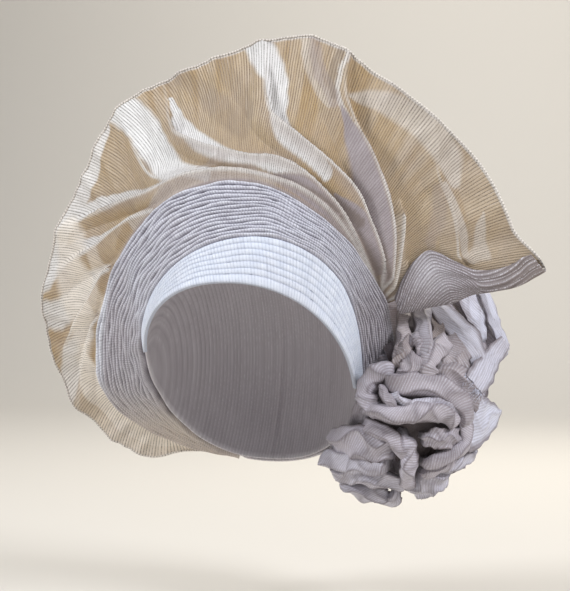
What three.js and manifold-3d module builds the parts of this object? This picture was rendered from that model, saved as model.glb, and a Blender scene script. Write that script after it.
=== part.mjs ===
// A tied gele: a tucked brow band, stacked pleats, a wide rippled fan and a gathered rosette.
// Millimetres. +X is the wearer's left, -Y the front, +Z up.
// The origin is the middle of the head opening, which leans back by OPENING_TILT.
import * as THREE from 'three';
import { mergeVertices } from 'three/addons/utils/BufferGeometryUtils.js';
import Module from 'manifold-3d';

const wasm = await Module();
wasm.setup();

// Head opening
const HEAD_HALF_WIDTH = 80;
const HEAD_HALF_LENGTH = 100;
const HEAD_DEPTH = 112;
const HEAD_ROUNDNESS = 2.15;
const OPENING_TILT = 45;

// Walls and the clearance between pieces that touch
const CLOTH = 2;
const BAND_WALL = 2.4;
const STACK_WALL = 3;
const FAN_WALL = 1.8;
const BORDER_WALL = 2.4;
const RUFFLE_WALL = 1.8;
const GAP = 0.3;
// How far the form that a piece keeps free for itself stands off its faceted surface
const FORM_GROWTH = 1.6 * GAP;

// Brow band, and the rim of the cap behind it
const BAND_FLARE = 20;
const BAND_RISE = 33;
const BAND_START = -72;
const BAND_END = 99;
const TUCKS = 4;
const TUCK_STEP = 0.9;
const CAP_LIFT = 4.5;

// Stack of pleats
const STACK_FLARE = 64;
const STACK_RISE = 84;
const STACK_START = -164;
const STACK_END = 96;
const PLEATS = 10;
const PLEAT_STEP = 3.4;

// Fan and its folded border
const FAN_FLARE = 152;
const FAN_RISE = 196;
const FAN_START = -160;
const FAN_END = 74;
const FAN_SAG = 9;
const CORNER_REACH = 14;
const CORNER_SPAN = 6;
const BORDER_DROP = 24;
const BORDER_PUFF = 5;

// Cloth between the crown and the stack: shares of the head's depth and of the stack's width
const WRAP_CLIMB = 0.76;
const WRAP_SEAT = 0.93;
const WRAP_DIP = 16;
const WRAP_INSET = 6;

// Rosette: its middle is measured from the side of the head opening
const ROSETTE_STANDOFF = 38;
const ROSETTE_BACK = 45;
const ROSETTE_DROP = 23;
const ROSETTE_HALF_WIDTH = 70;
const ROSETTE_HALF_HEIGHT = 75;
const ROSETTE_HALF_DEPTH = 46;
const ROSETTE_TURN = 14;
const CORE_SHARE = 0.86;
const RUFFLE_SKIRT = 16;
const BACK_RUFFLES = 5;
const BACK_RUFFLE_WIDTH = 26;
const BACK_RUFFLE_ARCH = 9;

// Nape band
const NAPE_WIDTH = 34;
const NAPE_WALL = 3;

const rows = (columns, values) =>
  values.map((row) => Object.fromEntries(columns.map((column, i) => [column, row[i]])));

// Sections round the head. Flare and rise are shares of the flare and rise sizes of each piece.
const SECTIONS = rows(
  ['angle', 'bandFlare', 'bandRise', 'stackFlare', 'stackRise', 'fanFlare', 'fanRise'],
  [
    [-165, 0.27, 0.05, 0.14, 0.10, 0.17, 0.06],
    [-150, 0.27, 0.05, 0.40, 0.13, 0.32, 0.045],
    [-135, 0.27, 0.05, 0.64, 0.16, 0.48, 0.055],
    [-120, 0.27, 0.05, 0.86, 0.19, 0.645, 0.118],
    [-105, 0.27, 0.05, 0.98, 0.27, 0.76, 0.265],
    [-90, 0.27, 0.08, 0.875, 0.47, 0.775, 0.45],
    [-75, 0.27, 0.18, 0.73, 0.62, 0.68, 0.62],
    [-60, 0.27, 0.34, 0.62, 0.76, 0.59, 0.765],
    [-45, 0.29, 0.50, 0.51, 0.86, 0.56, 0.89],
    [-30, 0.36, 0.66, 0.47, 0.93, 0.46, 0.945],
    [-15, 0.52, 0.80, 0.42, 0.98, 0.425, 0.975],
    [0, 0.76, 0.93, 0.40, 0.985, 0.455, 1],
    [15, 0.95, 1, 0.36, 0.93, 0.545, 0.985],
    [30, 0.95, 1, 0.34, 0.83, 0.595, 0.86],
    [45, 0.78, 0.97, 0.34, 0.76, 0.70, 0.72],
    [60, 0.52, 0.86, 0.37, 0.66, 0.84, 0.52],
    [75, 0.35, 0.68, 0.42, 0.57, 0.915, 0.245],
    [90, 0.28, 0.44, 0.42, 0.42, 1, 0],
    [105, 0.27, 0.20, 0.36, 0.26, 1, -0.2],
  ],
);

// Broad folds of the fan. Each crest runs through five points: an angle and a share of the reach.
// Rise and the inner and outer widths are shares of the fan's reach above the stack.
const FOLDS = rows(
  ['rise', 'inner', 'outer', 'a0', 't0', 'a1', 't1', 'a2', 't2', 'a3', 't3', 'a4', 't4'],
  [
    [0.075, 0.16, 0.06, 66, 0.12, 50, 0.34, 40, 0.51, 28, 0.68, 24, 1],
    [0.065, 0.13, 0.05, 60, 0.08, 42, 0.24, 18, 0.35, 5, 0.55, 2, 1],
    [0.065, 0.13, 0.05, 51, 0.05, 27, 0.14, 2, 0.16, -20, 0.40, -29, 1],
    [0.06, 0.10, 0.05, 30, 0.07, -2, 0.07, -30, 0.12, -56, 0.45, -76, 1],
    [0.045, 0.12, 0.12, -12, 0.09, -28, 0.19, -37, 0.35, -42, 0.65, -44, 1],
    [0.07, 0.15, 0.06, -40, 0.07, -60, 0.26, -72, 0.48, -80, 0.73, -88, 1],
    [0.06, 0.13, 0.06, -70, 0.12, -81, 0.24, -92, 0.45, -99, 0.70, -104, 1],
    [0.045, 0.12, 0.06, -86, 0.07, -97, 0.22, -104, 0.45, -109, 0.69, -114, 1],
    [0.05, 0.10, 0.06, 68, 0.50, 63, 0.64, 56, 0.74, 50, 0.87, 46, 1],
  ],
);

// Ruffles of the rosette, from the outermost layer in. Right and up are shares of its half sizes;
// width and arch are shares of its half width, forward is a share of its half depth.
const RUFFLES = rows(
  ['name', 'width', 'arch', 'forward', 'r0', 'u0', 'r1', 'u1', 'r2', 'u2', 'r3', 'u3'],
  [
    ['torn_end', 0.22, 0.06, 0.40, 0.40, 0.24, 0.60, 0.36, 0.80, 0.50, 1.03, 0.66],
    ['lower_tube', 0.24, 0.14, 0.12, -0.55, -0.06, -0.24, -0.05, 0.08, -0.02, 0.38, -0.18],
    ['upper_tube', 0.30, 0.14, 0.08, -0.24, 0.25, 0.02, 0.23, 0.31, 0.15, 0.47, -0.08],
    ['slant_loop', 0.26, 0.13, 0.10, 0.36, 0.74, 0.24, 0.62, 0.18, 0.50, 0.16, 0.38],
    ['upper_panel', 0.38, 0.10, 0.20, 0.30, 1.00, 0.44, 0.86, 0.56, 0.72, 0.66, 0.54],
    ['ear_loop', 0.20, 0.12, 0.06, -0.32, 0.38, -0.49, 0.30, -0.50, 0.14, -0.36, 0.08],
    ['knot_loop', 0.20, 0.12, 0.06, 0.08, 1.02, 0.05, 0.84, 0.02, 0.64, 0.00, 0.42],
    ['knot_fold', 0.20, 0.10, 0.02, -0.14, 1.02, -0.16, 0.82, -0.18, 0.60, -0.20, 0.42],
    ['side_loop', 0.24, 0.08, 0.42, 0.86, 1.12, 0.96, 0.95, 1.07, 0.78, 1.12, 0.62],
    ['side_panel', 0.36, 0.08, 0.30, 0.46, 1.12, 0.66, 1.08, 0.80, 0.94, 0.82, 0.72],
    ['right_arc', 0.26, 0.11, 0.04, 0.64, 0.18, 0.62, -0.09, 0.56, -0.36, 0.30, -0.52],
    ['pointed_lobe', 0.36, 0.07, 0.06, 0.80, 0.28, 0.89, 0.02, 0.84, -0.24, 0.66, -0.46],
    ['centre_fold', 0.24, 0.10, 0.04, -0.12, -0.26, -0.08, -0.44, -0.04, -0.64, -0.05, -0.88],
    ['pocket_fold', 0.34, 0.09, 0, 0.08, -0.34, 0.20, -0.34, 0.32, -0.34, 0.44, -0.28],
    ['left_sheet', 0.36, 0.10, 0, -0.92, -0.24, -0.70, -0.26, -0.46, -0.28, -0.24, -0.34],
    ['left_lobe', 0.32, 0.12, 0.04, -0.98, -0.52, -0.72, -0.54, -0.46, -0.58, -0.22, -0.62],
    ['bottom_lobe', 0.32, 0.10, 0, -0.98, -0.76, -0.70, -0.84, -0.44, -0.90, -0.22, -0.94],
    ['bottom_arc', 0.40, 0.10, 0, 0.10, -0.84, 0.28, -0.74, 0.46, -0.64, 0.62, -0.52],
  ],
);

const COLOURS = {
  pearl: { color: 0xdfe1ea, roughness: 0.5 },
  silver: { color: 0xb4b0ba, roughness: 0.45 },
  champagne: { color: 0xc9b99b, roughness: 0.45 },
  ivory: { color: 0xe6e1dc, roughness: 0.55 },
};

const RADIANS = Math.PI / 180;
const mix = THREE.MathUtils.lerp;
const clamp = THREE.MathUtils.clamp;
const smooth = (x) => THREE.MathUtils.smoothstep(x, 0, 1);

// A column of the sections at any angle, through a smooth curve
function section(column, angle) {
  const step = SECTIONS[1].angle - SECTIONS[0].angle;
  const x = clamp((angle - SECTIONS[0].angle) / step, 0, SECTIONS.length - 1.001);
  const i = Math.floor(x);
  const at = (k) => SECTIONS[clamp(k, 0, SECTIONS.length - 1)][column];
  const s = x - i;
  const before = (at(i + 1) - at(i - 1)) / 2;
  const after = (at(i + 2) - at(i)) / 2;
  const rest = 1 - s;
  return at(i) * (1 + 2 * s) * rest * rest + before * s * rest * rest
    + at(i + 1) * s * s * (3 - 2 * s) - after * s * s * rest;
}

// The half width of the head opening in a direction round it, front at 0
function rim(angle) {
  const side = Math.abs(Math.sin(angle * RADIANS)) / HEAD_HALF_WIDTH;
  const front = Math.abs(Math.cos(angle * RADIANS)) / HEAD_HALF_LENGTH;
  return (side ** HEAD_ROUNDNESS + front ** HEAD_ROUNDNESS) ** (-1 / HEAD_ROUNDNESS);
}

// A point from its angle round the opening's axis, its distance out and its height along the axis
function place(angle, out, up) {
  const lean = OPENING_TILT * RADIANS;
  const front = out * Math.cos(angle * RADIANS);
  return new THREE.Vector3(
    out * Math.sin(angle * RADIANS),
    up * Math.sin(lean) - front * Math.cos(lean),
    up * Math.cos(lean) + front * Math.sin(lean),
  );
}

const bandFoot = (angle) => new THREE.Vector2(rim(angle), 0);
const bandTop = (angle) => new THREE.Vector2(
  rim(angle) + BAND_FLARE * section('bandFlare', angle),
  BAND_RISE * section('bandRise', angle),
);
const stackTop = (angle) => new THREE.Vector2(
  rim(angle) + STACK_FLARE * section('stackFlare', angle),
  STACK_RISE * section('stackRise', angle),
);
const fanEdge = (angle) => new THREE.Vector2(
  rim(angle) + FAN_FLARE * section('fanFlare', angle)
    + CORNER_REACH * smooth((angle - FAN_END) / CORNER_SPAN + 1),
  FAN_RISE * section('fanRise', angle),
);

// A straight run between two points of a section, with its unit direction and its outer normal
function run(from, to) {
  const along = to.clone().sub(from);
  const length = along.length();
  along.normalize();
  return { from, length, along, normal: new THREE.Vector2(along.y, -along.x) };
}

const onRun = (line, distance, offset) =>
  line.from.clone().addScaledVector(line.along, distance).addScaledVector(line.normal, offset);

const range = (count) => Array.from({ length: count + 1 }, (_, i) => i / count);

function toManifold(geometry) {
  const bare = geometry.clone();
  bare.deleteAttribute('normal');
  bare.deleteAttribute('uv');
  const merged = mergeVertices(bare, 1e-4);
  return new wasm.Manifold(new wasm.Mesh({
    numProp: 3,
    vertProperties: new Float32Array(merged.attributes.position.array),
    triVerts: new Uint32Array(merged.index.array),
  }));
}

function toGeometry(solid) {
  const { vertProperties, triVerts } = solid.getMesh();
  const geometry = new THREE.BufferGeometry();
  geometry.setAttribute('position', new THREE.BufferAttribute(new Float32Array(vertProperties), 3));
  geometry.setIndex(new THREE.BufferAttribute(new Uint32Array(triVerts), 1));
  geometry.computeVertexNormals();
  return geometry;
}

// Joins closed section loops of equal length into one body; the first loop's flat shape caps the ends
function loft(loops, flatLoops) {
  const count = loops[0].length;
  const positions = loops.flat().flatMap((point) => point.toArray());
  const faces = [];
  for (let row = 0; row + 1 < loops.length; row += 1) {
    for (let i = 0; i < count; i += 1) {
      const a = row * count + i;
      const b = row * count + ((i + 1) % count);
      faces.push(a, b, b + count, a, b + count, a + count);
    }
  }
  const lastRow = (loops.length - 1) * count;
  const cap = (flat, offset, flip) => {
    for (const [a, b, c] of THREE.ShapeUtils.triangulateShape(flat, [])) {
      faces.push(offset + a, offset + (flip ? c : b), offset + (flip ? b : c));
    }
  };
  const turnsLeft = THREE.ShapeUtils.area(flatLoops[0]) > 0;
  cap(flatLoops[0], 0, turnsLeft);
  cap(flatLoops[flatLoops.length - 1], lastRow, !turnsLeft);
  const geometry = new THREE.BufferGeometry();
  geometry.setAttribute('position', new THREE.Float32BufferAttribute(positions, 3));
  geometry.setIndex(faces);
  const solid = toManifold(geometry);
  return solid.volume() > 0 ? solid : turnOutward(geometry);
}

function turnOutward(geometry) {
  const index = geometry.index.array.slice();
  for (let i = 0; i < index.length; i += 3) {
    [index[i + 1], index[i + 2]] = [index[i + 2], index[i + 1]];
  }
  geometry.setIndex(new THREE.BufferAttribute(index, 1));
  return toManifold(geometry);
}

// A piece that follows the sections between two angles
function aroundHead(start, end, steps, loopAt) {
  const angles = range(steps).map((share) => mix(start, end, share));
  const flats = angles.map((angle) => loopAt(angle));
  return loft(flats.map((flat, i) => flat.map((point) => place(angles[i], point.x, point.y))), flats);
}

// The head's form grown by an offset, with the way by which the head comes in
function headForm(offset) {
  const dome = new THREE.SphereGeometry(1, 28, 12);
  const shape = dome.attributes.position;
  const power = 2 / HEAD_ROUNDNESS;
  const rounded = (value) => Math.sign(value) * Math.abs(value) ** power;
  for (let i = 0; i < shape.count; i += 1) {
    const up = shape.getY(i);
    const flat = Math.hypot(shape.getX(i), shape.getZ(i));
    const angle = Math.atan2(shape.getX(i), shape.getZ(i)) / RADIANS;
    const point = place(angle, (rim(angle) + offset) * rounded(flat), (HEAD_DEPTH + offset) * rounded(up));
    shape.setXYZ(i, point.x, point.y, point.z);
  }
  return toManifold(dome);
}

// The straight way, along the opening's axis, by which the head comes in
function headWay() {
  const column = new THREE.CylinderGeometry(1, 1, 1, 36, 1);
  const shape = column.attributes.position;
  for (let i = 0; i < shape.count; i += 1) {
    const angle = Math.atan2(shape.getX(i), shape.getZ(i)) / RADIANS;
    const out = Math.hypot(shape.getX(i), shape.getZ(i)) * (rim(angle) + GAP);
    const point = place(angle, out, shape.getY(i) > 0 ? 0 : -2 * HEAD_DEPTH);
    shape.setXYZ(i, point.x, point.y, point.z);
  }
  return toManifold(column);
}

// The half space below a plane that meets the opening's axis at a height, raised at the front
function below(height, frontRise) {
  const size = 3 * HEAD_HALF_LENGTH;
  const slab = new THREE.BoxGeometry(2 * size, 2 * size, size);
  slab.translate(0, 0, -size / 2);
  slab.rotateX(-Math.atan(frontRise / (2 * HEAD_HALF_LENGTH)));
  slab.translate(0, 0, height);
  slab.rotateX(-OPENING_TILT * RADIANS);
  return toManifold(slab);
}

function crownCap() {
  const shell = headForm(CLOTH).subtract(headForm(0));
  return shell.subtract(below(CAP_LIFT / 2, CAP_LIFT));
}
// The stepped front of a tucked or pleated run: each tuck rises to its edge and drops back
function tuckedFront(line, tucks, step) {
  const share = line.length / tucks;
  const points = [];
  for (let k = 0; k < tucks; k += 1) {
    points.push(onRun(line, k * share, 0), onRun(line, (k + 0.82) * share, step));
  }
  points.push(onRun(line, line.length, 0));
  return points;
}

function browBand(grow = 0) {
  return aroundHead(BAND_START - grow, BAND_END + grow, 28, (angle) => {
    const front = run(bandFoot(angle).add(new THREE.Vector2(BAND_WALL / 2, 0)), bandTop(angle));
    const seat = new THREE.Vector2(rim(angle) + CLOTH + GAP, CAP_LIFT);
    const outer = grow
      ? [onRun(front, -grow, TUCK_STEP + grow), onRun(front, front.length + grow, TUCK_STEP + grow)]
      : tuckedFront(front, TUCKS, TUCK_STEP);
    return [
      ...outer,
      onRun(front, front.length, -BAND_WALL),
      seat.clone().lerp(onRun(front, front.length, -BAND_WALL), 0.5),
      bandFoot(angle),
    ];
  });
}

function pleatStack(grow = 0) {
  return aroundHead(STACK_START - grow, STACK_END + grow, 36, (angle) => {
    const line = run(bandTop(angle), stackTop(angle));
    line.from = onRun(line, GAP - grow, 0);
    line.length += 2 * grow - GAP;
    const front = grow
      ? [onRun(line, 0, PLEAT_STEP + grow), onRun(line, line.length, PLEAT_STEP + grow)]
      : tuckedFront(line, PLEATS, PLEAT_STEP);
    return [
      ...front,
      onRun(line, line.length, -STACK_WALL - grow),
      onRun(line, 0, -STACK_WALL - grow),
    ];
  });
}

// The crest of a fold as a smooth curve in the fan's unrolled plane
const fanReach = FAN_RISE - STACK_RISE;
const fanGirth = HEAD_HALF_WIDTH + FAN_FLARE / 2;
const unrolled = (angle, share) => new THREE.Vector2(angle * RADIANS * fanGirth, share * fanReach);
const CRESTS = FOLDS.map((fold) => {
  const knots = [0, 1, 2, 3, 4].map((i) => unrolled(fold[`a${i}`], fold[`t${i}`]));
  return { ...fold, points: new THREE.SplineCurve(knots).getPoints(24) };
});

// Distance across a crest, positive on its steep outer side
function across(points, spot) {
  let best = { distance: Infinity, side: 1 };
  for (let i = 0; i + 1 < points.length; i += 1) {
    const along = points[i + 1].clone().sub(points[i]);
    const share = clamp(spot.clone().sub(points[i]).dot(along) / along.lengthSq(), 0, 1);
    const offset = spot.clone().sub(points[i]).addScaledVector(along, -share);
    if (offset.length() < best.distance) {
      best = { distance: offset.length(), side: Math.sign(offset.x * along.y - offset.y * along.x) };
    }
  }
  return best.distance * best.side;
}

function foldRelief(angle, share) {
  const spot = unrolled(angle, share);
  const heights = CRESTS.map((fold) => {
    const distance = across(fold.points, spot) / fanReach;
    const width = distance > 0 ? fold.outer : fold.inner;
    return fold.rise * fanReach * smooth(1 - Math.abs(distance) / width);
  });
  return Math.max(0, ...heights) * smooth(share / 0.08);
}

function fanLine(angle) {
  const line = run(stackTop(angle), fanEdge(angle));
  line.from = onRun(line, FORM_GROWTH, 0);
  line.length -= FORM_GROWTH;
  return line;
}

const fanPoint = (line, share, offset) =>
  onRun(line, share * line.length, offset - 4 * FAN_SAG * share * (1 - share));

function fan(grow = 0) {
  const shares = range(8);
  return aroundHead(FAN_START - grow, FAN_END + grow / 2, 54, (angle) => {
    const line = fanLine(angle);
    const relief = (share) => foldRelief(angle, share);
    return [
      ...shares.map((share) => fanPoint(line, share, relief(share) + grow)),
      ...shares.toReversed().map((share) => fanPoint(line, share, relief(share) - FAN_WALL - grow)),
    ];
  });
}

// The fan's folded lower border: a strip from the knot out to the corner
function foldedBorder(grow = 0) {
  const shares = range(14).map((share) => mix(0.1, 1.01, share));
  const line = fanLine(FAN_END);
  const loops = shares.map((share) => {
    const ripple = Math.sin(share * 9) * BORDER_PUFF * 0.3;
    const drop = BORDER_DROP * mix(1.2, 0.35, share) + grow;
    const rise = (offset, depth) => {
      const point = fanPoint(line, share, offset);
      return place(FAN_END, point.x, point.y).add(
        place(FAN_END + 90, depth, 0).sub(place(FAN_END + 90, 0, 0)),
      );
    };
    const wall = BORDER_WALL + grow;
    const puff = BORDER_PUFF + ripple + grow;
    return [
      rise(GAP - grow, -drop * 0.35),
      rise(wall + GAP, -drop * 0.37),
      rise(puff + GAP, drop * 0.1),
      rise(wall + GAP, drop * 0.62),
      rise(-grow, drop * 0.66),
      rise(puff - BORDER_WALL - 2 * grow, drop * 0.12),
    ];
  });
  const flat = [[-0.35, 0], [-0.37, 1], [0.1, 2], [0.62, 1], [0.66, -0.1], [0.12, 1.2]]
    .map(([x, y]) => new THREE.Vector2(x, y));
  return loft(loops, [flat, flat]);
}

// A point of a section that stands off the head's form by an offset, at a height on its axis
function onHead(angle, up, offset) {
  const level = (Math.max(0, up) / (HEAD_DEPTH + offset)) ** HEAD_ROUNDNESS;
  return new THREE.Vector2((rim(angle) + offset) * (1 - level) ** (1 / HEAD_ROUNDNESS), up);
}

// The cloth between the crown and the back of the stack
function crownWrap(grow = 0) {
  const shares = range(3);
  const end = STACK_END - WRAP_INSET;
  return aroundHead(STACK_START - 2 * grow, end + 2 * grow, 36, (angle) => {
    const climb = WRAP_CLIMB * Math.min(1, 2.1 * section('stackFlare', angle));
    const inner = onHead(angle, HEAD_DEPTH * climb, CLOTH + FORM_GROWTH + 2 * GAP);
    const stack = run(bandTop(angle), stackTop(angle));
    const outer = onRun(stack, stack.length * WRAP_SEAT, -STACK_WALL - FORM_GROWTH - GAP);
    const line = run(outer, inner);
    const dip = (share) => -WRAP_DIP * share * (1 - share) ** 2;
    return [
      ...shares.map((share) => onRun(line, share * line.length, dip(share) + CLOTH + grow)),
      ...shares.toReversed().map((share) => onRun(line, share * line.length, dip(share) - grow)),
    ];
  });
}

function napeBand(grow = 0) {
  const start = Math.max(BAND_END, STACK_END) + 2;
  const end = STACK_START + 358;
  return aroundHead(start - grow, end + grow, 18, (angle) => {
    const width = NAPE_WIDTH * mix(0.5, 1, Math.cos((angle - (start + end) / 2) * RADIANS) ** 2);
    const seat = CLOTH + GAP;
    return [
      onHead(angle, -grow, seat - 6 * grow),
      onHead(angle, -grow, seat + NAPE_WALL + grow),
      onHead(angle, width * 0.3, seat + NAPE_WALL * 1.5 + grow),
      onHead(angle, width * 0.5, seat + NAPE_WALL + grow),
      onHead(angle, width * 0.8, seat + NAPE_WALL * 1.5 + grow),
      onHead(angle, width + grow, seat + CLOTH + grow),
      onHead(angle, width + grow, seat - 6 * grow),
    ];
  });
}

// The rosette's own directions, and its middle
const turn = ROSETTE_TURN * RADIANS;
const RIGHT = new THREE.Vector3(Math.cos(turn), Math.sin(turn), 0);
const FORWARD = new THREE.Vector3(Math.sin(turn), -Math.cos(turn), 0);
const UP = new THREE.Vector3(0, 0, 1);
const MIDDLE = new THREE.Vector3(HEAD_HALF_WIDTH + ROSETTE_STANDOFF, ROSETTE_BACK, -ROSETTE_DROP);

const inRosette = (right, up, forward) => MIDDLE.clone()
  .addScaledVector(RIGHT, right * ROSETTE_HALF_WIDTH)
  .addScaledVector(UP, up * ROSETTE_HALF_HEIGHT)
  .addScaledVector(FORWARD, forward);

// Depth of the rosette's rounded front at a place, falling gently outside its outline
function domeDepth(right, up) {
  const height = 1 - Math.hypot(right, up) ** 2.4;
  return ROSETTE_HALF_DEPTH * (height > 0 ? height : height / (1 - 4 * height));
}

function rosetteCore(grow = 0) {
  const ball = new THREE.SphereGeometry(1, 14, 8);
  const shape = ball.attributes.position;
  for (let i = 0; i < shape.count; i += 1) {
    const right = shape.getX(i);
    const up = shape.getY(i);
    const height = 1 - Math.min(1, Math.hypot(right, up)) ** 2.4;
    const side = Math.sign(shape.getZ(i));
    const swell = 1 + grow / (CORE_SHARE * ROSETTE_HALF_WIDTH);
    const depth = side * (CORE_SHARE * ROSETTE_HALF_DEPTH + 2 * grow) * height;
    const point = inRosette(CORE_SHARE * swell * right, CORE_SHARE * swell * up, depth);
    shape.setXYZ(i, point.x, point.y, point.z);
  }
  return toManifold(ball);
}

// A puffed loop of cloth along a path; grown, it is the filled form that neighbours stay clear of
function ruffle(path, outward, width, arch, grow = 0) {
  const curve = new THREE.CatmullRomCurve3(path);
  const steps = 4;
  const wall = RUFFLE_WALL;
  const half = width / 2 + grow;
  const shell = [
    [-half, -RUFFLE_SKIRT - grow], [-half * 0.8, arch * 0.6 + grow], [0, arch + grow],
    [half * 0.8, arch * 0.6 + grow], [half, -RUFFLE_SKIRT - grow],
  ];
  const hollow = [
    [half - wall, -RUFFLE_SKIRT], [half * 0.8 - wall, arch * 0.6 - wall], [0, arch - wall],
    [wall - half * 0.8, arch * 0.6 - wall], [wall - half, -RUFFLE_SKIRT],
  ];
  const outline = (grow ? shell : [...shell, ...hollow]).map(([x, y]) => new THREE.Vector2(x, y));
  const loops = range(steps).map((share) => {
    const along = curve.getTangentAt(share);
    const base = curve.getPointAt(share);
    const end = share === 0 ? -grow : 0;
    base.addScaledVector(along, share === 1 ? grow : end);
    const normal = outward(base).clone();
    normal.addScaledVector(along, -normal.dot(along)).normalize();
    const side = along.clone().cross(normal);
    const pinch = mix(0.8, 1, Math.sin(Math.PI * share));
    return outline.map((point) => base.clone()
      .addScaledVector(side, point.x * (grow ? 1 : pinch))
      .addScaledVector(normal, point.y > 0 ? point.y * (grow ? 1 : pinch) : point.y));
  });
  return loft(loops, [outline, outline]);
}

const fromMiddle = (point) => {
  const offset = point.clone().sub(MIDDLE);
  const right = offset.dot(RIGHT) / ROSETTE_HALF_WIDTH;
  const up = offset.dot(UP) / ROSETTE_HALF_HEIGHT;
  const side = offset.dot(FORWARD) < -0.05 * ROSETTE_HALF_DEPTH ? -1 : 1;
  return new THREE.Vector3()
    .addScaledVector(RIGHT, right * 0.9)
    .addScaledVector(UP, up * 0.9)
    .addScaledVector(FORWARD, side * 0.9)
    .normalize();
};

function frontRuffle(row, grow) {
  const path = [0, 1, 2, 3].map((i) => {
    const right = row[`r${i}`];
    const up = row[`u${i}`];
    return inRosette(right, up, domeDepth(right, up) + row.forward * ROSETTE_HALF_DEPTH);
  });
  const size = ROSETTE_HALF_WIDTH;
  return ruffle(path, fromMiddle, row.width * size, row.arch * size, grow);
}

function backRuffle(index, grow) {
  const around = (index / BACK_RUFFLES) * 2 * Math.PI + 0.4;
  const path = [0.22, 0.46, 0.7, 0.9].map((share, i) => {
    const bend = around + 0.16 * i;
    const right = share * Math.cos(bend);
    const up = share * Math.sin(bend);
    return inRosette(right, up, -Math.abs(domeDepth(right, up)) - 2);
  });
  return ruffle(path, fromMiddle, BACK_RUFFLE_WIDTH, BACK_RUFFLE_ARCH, grow);
}

const largest = (solid) => solid.decompose().reduce((best, part) =>
  (part.volume() > best.volume() ? part : best));

const group = new THREE.Group();
function add(name, solid, colour) {
  const mesh = new THREE.Mesh(toGeometry(solid), new THREE.MeshStandardMaterial(COLOURS[colour]));
  mesh.name = name;
  group.add(mesh);
}

const clearOfHead = headForm(CLOTH + GAP);
const rimPlane = below(CAP_LIFT / 2, CAP_LIFT);
const stackForm = pleatStack(FORM_GROWTH);
const fanForm = fan(FORM_GROWTH);
const taken = [
  clearOfHead, headWay(), browBand(FORM_GROWTH), stackForm, fanForm, foldedBorder(FORM_GROWTH),
  crownWrap(FORM_GROWTH), napeBand(FORM_GROWTH),
];
const clearOf = (solid, others) => largest(others.reduce((rest, other) => rest.subtract(other), solid));

add('crown_cap', crownCap(), 'silver');
add('crown_wrap', crownWrap(), 'silver');
add('brow_band', clearOf(browBand(), [clearOfHead.subtract(rimPlane), stackForm]), 'pearl');
add('pleat_stack', clearOf(pleatStack(), [clearOfHead]), 'silver');
add('fan', fan(), 'champagne');
add('fan_border', clearOf(foldedBorder(), [fanForm, stackForm]), 'silver');
add('nape_band', clearOf(napeBand(), [clearOfHead, stackForm]), 'ivory');
add('rosette_core', clearOf(rosetteCore(), taken), 'silver');
taken.push(rosetteCore(FORM_GROWTH));
for (const row of RUFFLES) {
  add(row.name, clearOf(frontRuffle(row, 0), taken), 'silver');
  taken.push(frontRuffle(row, FORM_GROWTH));
}
for (let i = 0; i < BACK_RUFFLES; i += 1) {
  add(`back_ruffle_${i + 1}`, clearOf(backRuffle(i, 0), taken), 'ivory');
  taken.push(backRuffle(i, FORM_GROWTH));
}

export default group;
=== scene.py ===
"""A tied gele head tie: brow band, stacked pleats, rippled fan, folded border and gathered rosette.

Metres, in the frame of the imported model: +X is the wearer's left, -Y the front, +Z up, and the origin is
the middle of the head opening, which leans back by OPENING_TILT.
"""

import math

import bpy
import numpy as np
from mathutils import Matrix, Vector


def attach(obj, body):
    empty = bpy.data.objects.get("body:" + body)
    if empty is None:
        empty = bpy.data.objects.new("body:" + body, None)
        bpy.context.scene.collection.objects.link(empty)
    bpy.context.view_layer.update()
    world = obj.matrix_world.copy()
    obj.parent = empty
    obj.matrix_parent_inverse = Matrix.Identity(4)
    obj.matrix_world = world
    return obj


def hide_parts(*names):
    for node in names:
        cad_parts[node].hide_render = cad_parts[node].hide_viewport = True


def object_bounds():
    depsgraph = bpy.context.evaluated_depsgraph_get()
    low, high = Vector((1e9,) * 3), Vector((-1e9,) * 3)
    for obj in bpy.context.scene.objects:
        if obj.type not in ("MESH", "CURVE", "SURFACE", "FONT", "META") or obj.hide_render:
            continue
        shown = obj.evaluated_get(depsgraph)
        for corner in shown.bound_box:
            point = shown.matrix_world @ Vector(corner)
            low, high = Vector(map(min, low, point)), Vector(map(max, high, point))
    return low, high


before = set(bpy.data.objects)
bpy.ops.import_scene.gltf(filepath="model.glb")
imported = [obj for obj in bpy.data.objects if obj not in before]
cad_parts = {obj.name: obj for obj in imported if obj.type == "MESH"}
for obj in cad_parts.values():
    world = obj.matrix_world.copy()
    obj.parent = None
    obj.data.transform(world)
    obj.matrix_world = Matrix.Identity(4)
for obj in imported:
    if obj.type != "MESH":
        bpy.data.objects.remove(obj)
cad_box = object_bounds()
CAD_NODES = set(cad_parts)

# The tables of folds, of tints and of the border hold percents and millimetres
PERCENT = 100
MILLI = 1000

# Head opening
HEAD_HALF_WIDTH = 0.080
HEAD_HALF_LENGTH = 0.100
HEAD_DEPTH = 0.112
HEAD_ROUNDNESS = 2.15
OPENING_TILT = math.radians(45)
CLOTH = 0.002
CAP_LIFT = 0.0045
HEAD_CLEARANCE = 0.005

# Brow band
BAND_FLARE = 0.020
BAND_RISE = 0.033
BAND_START = -72
BAND_END = 99
BAND_TUCKS = 7
BAND_THICK = 0.0022
BAND_FOOT_OUT = 0.0012

# Stack of pleats
STACK_FLARE = 0.064
STACK_RISE = 0.084
STACK_START = -164
STACK_END = 96
PLEATS = 15
STACK_THICK = 0.0052

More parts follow.
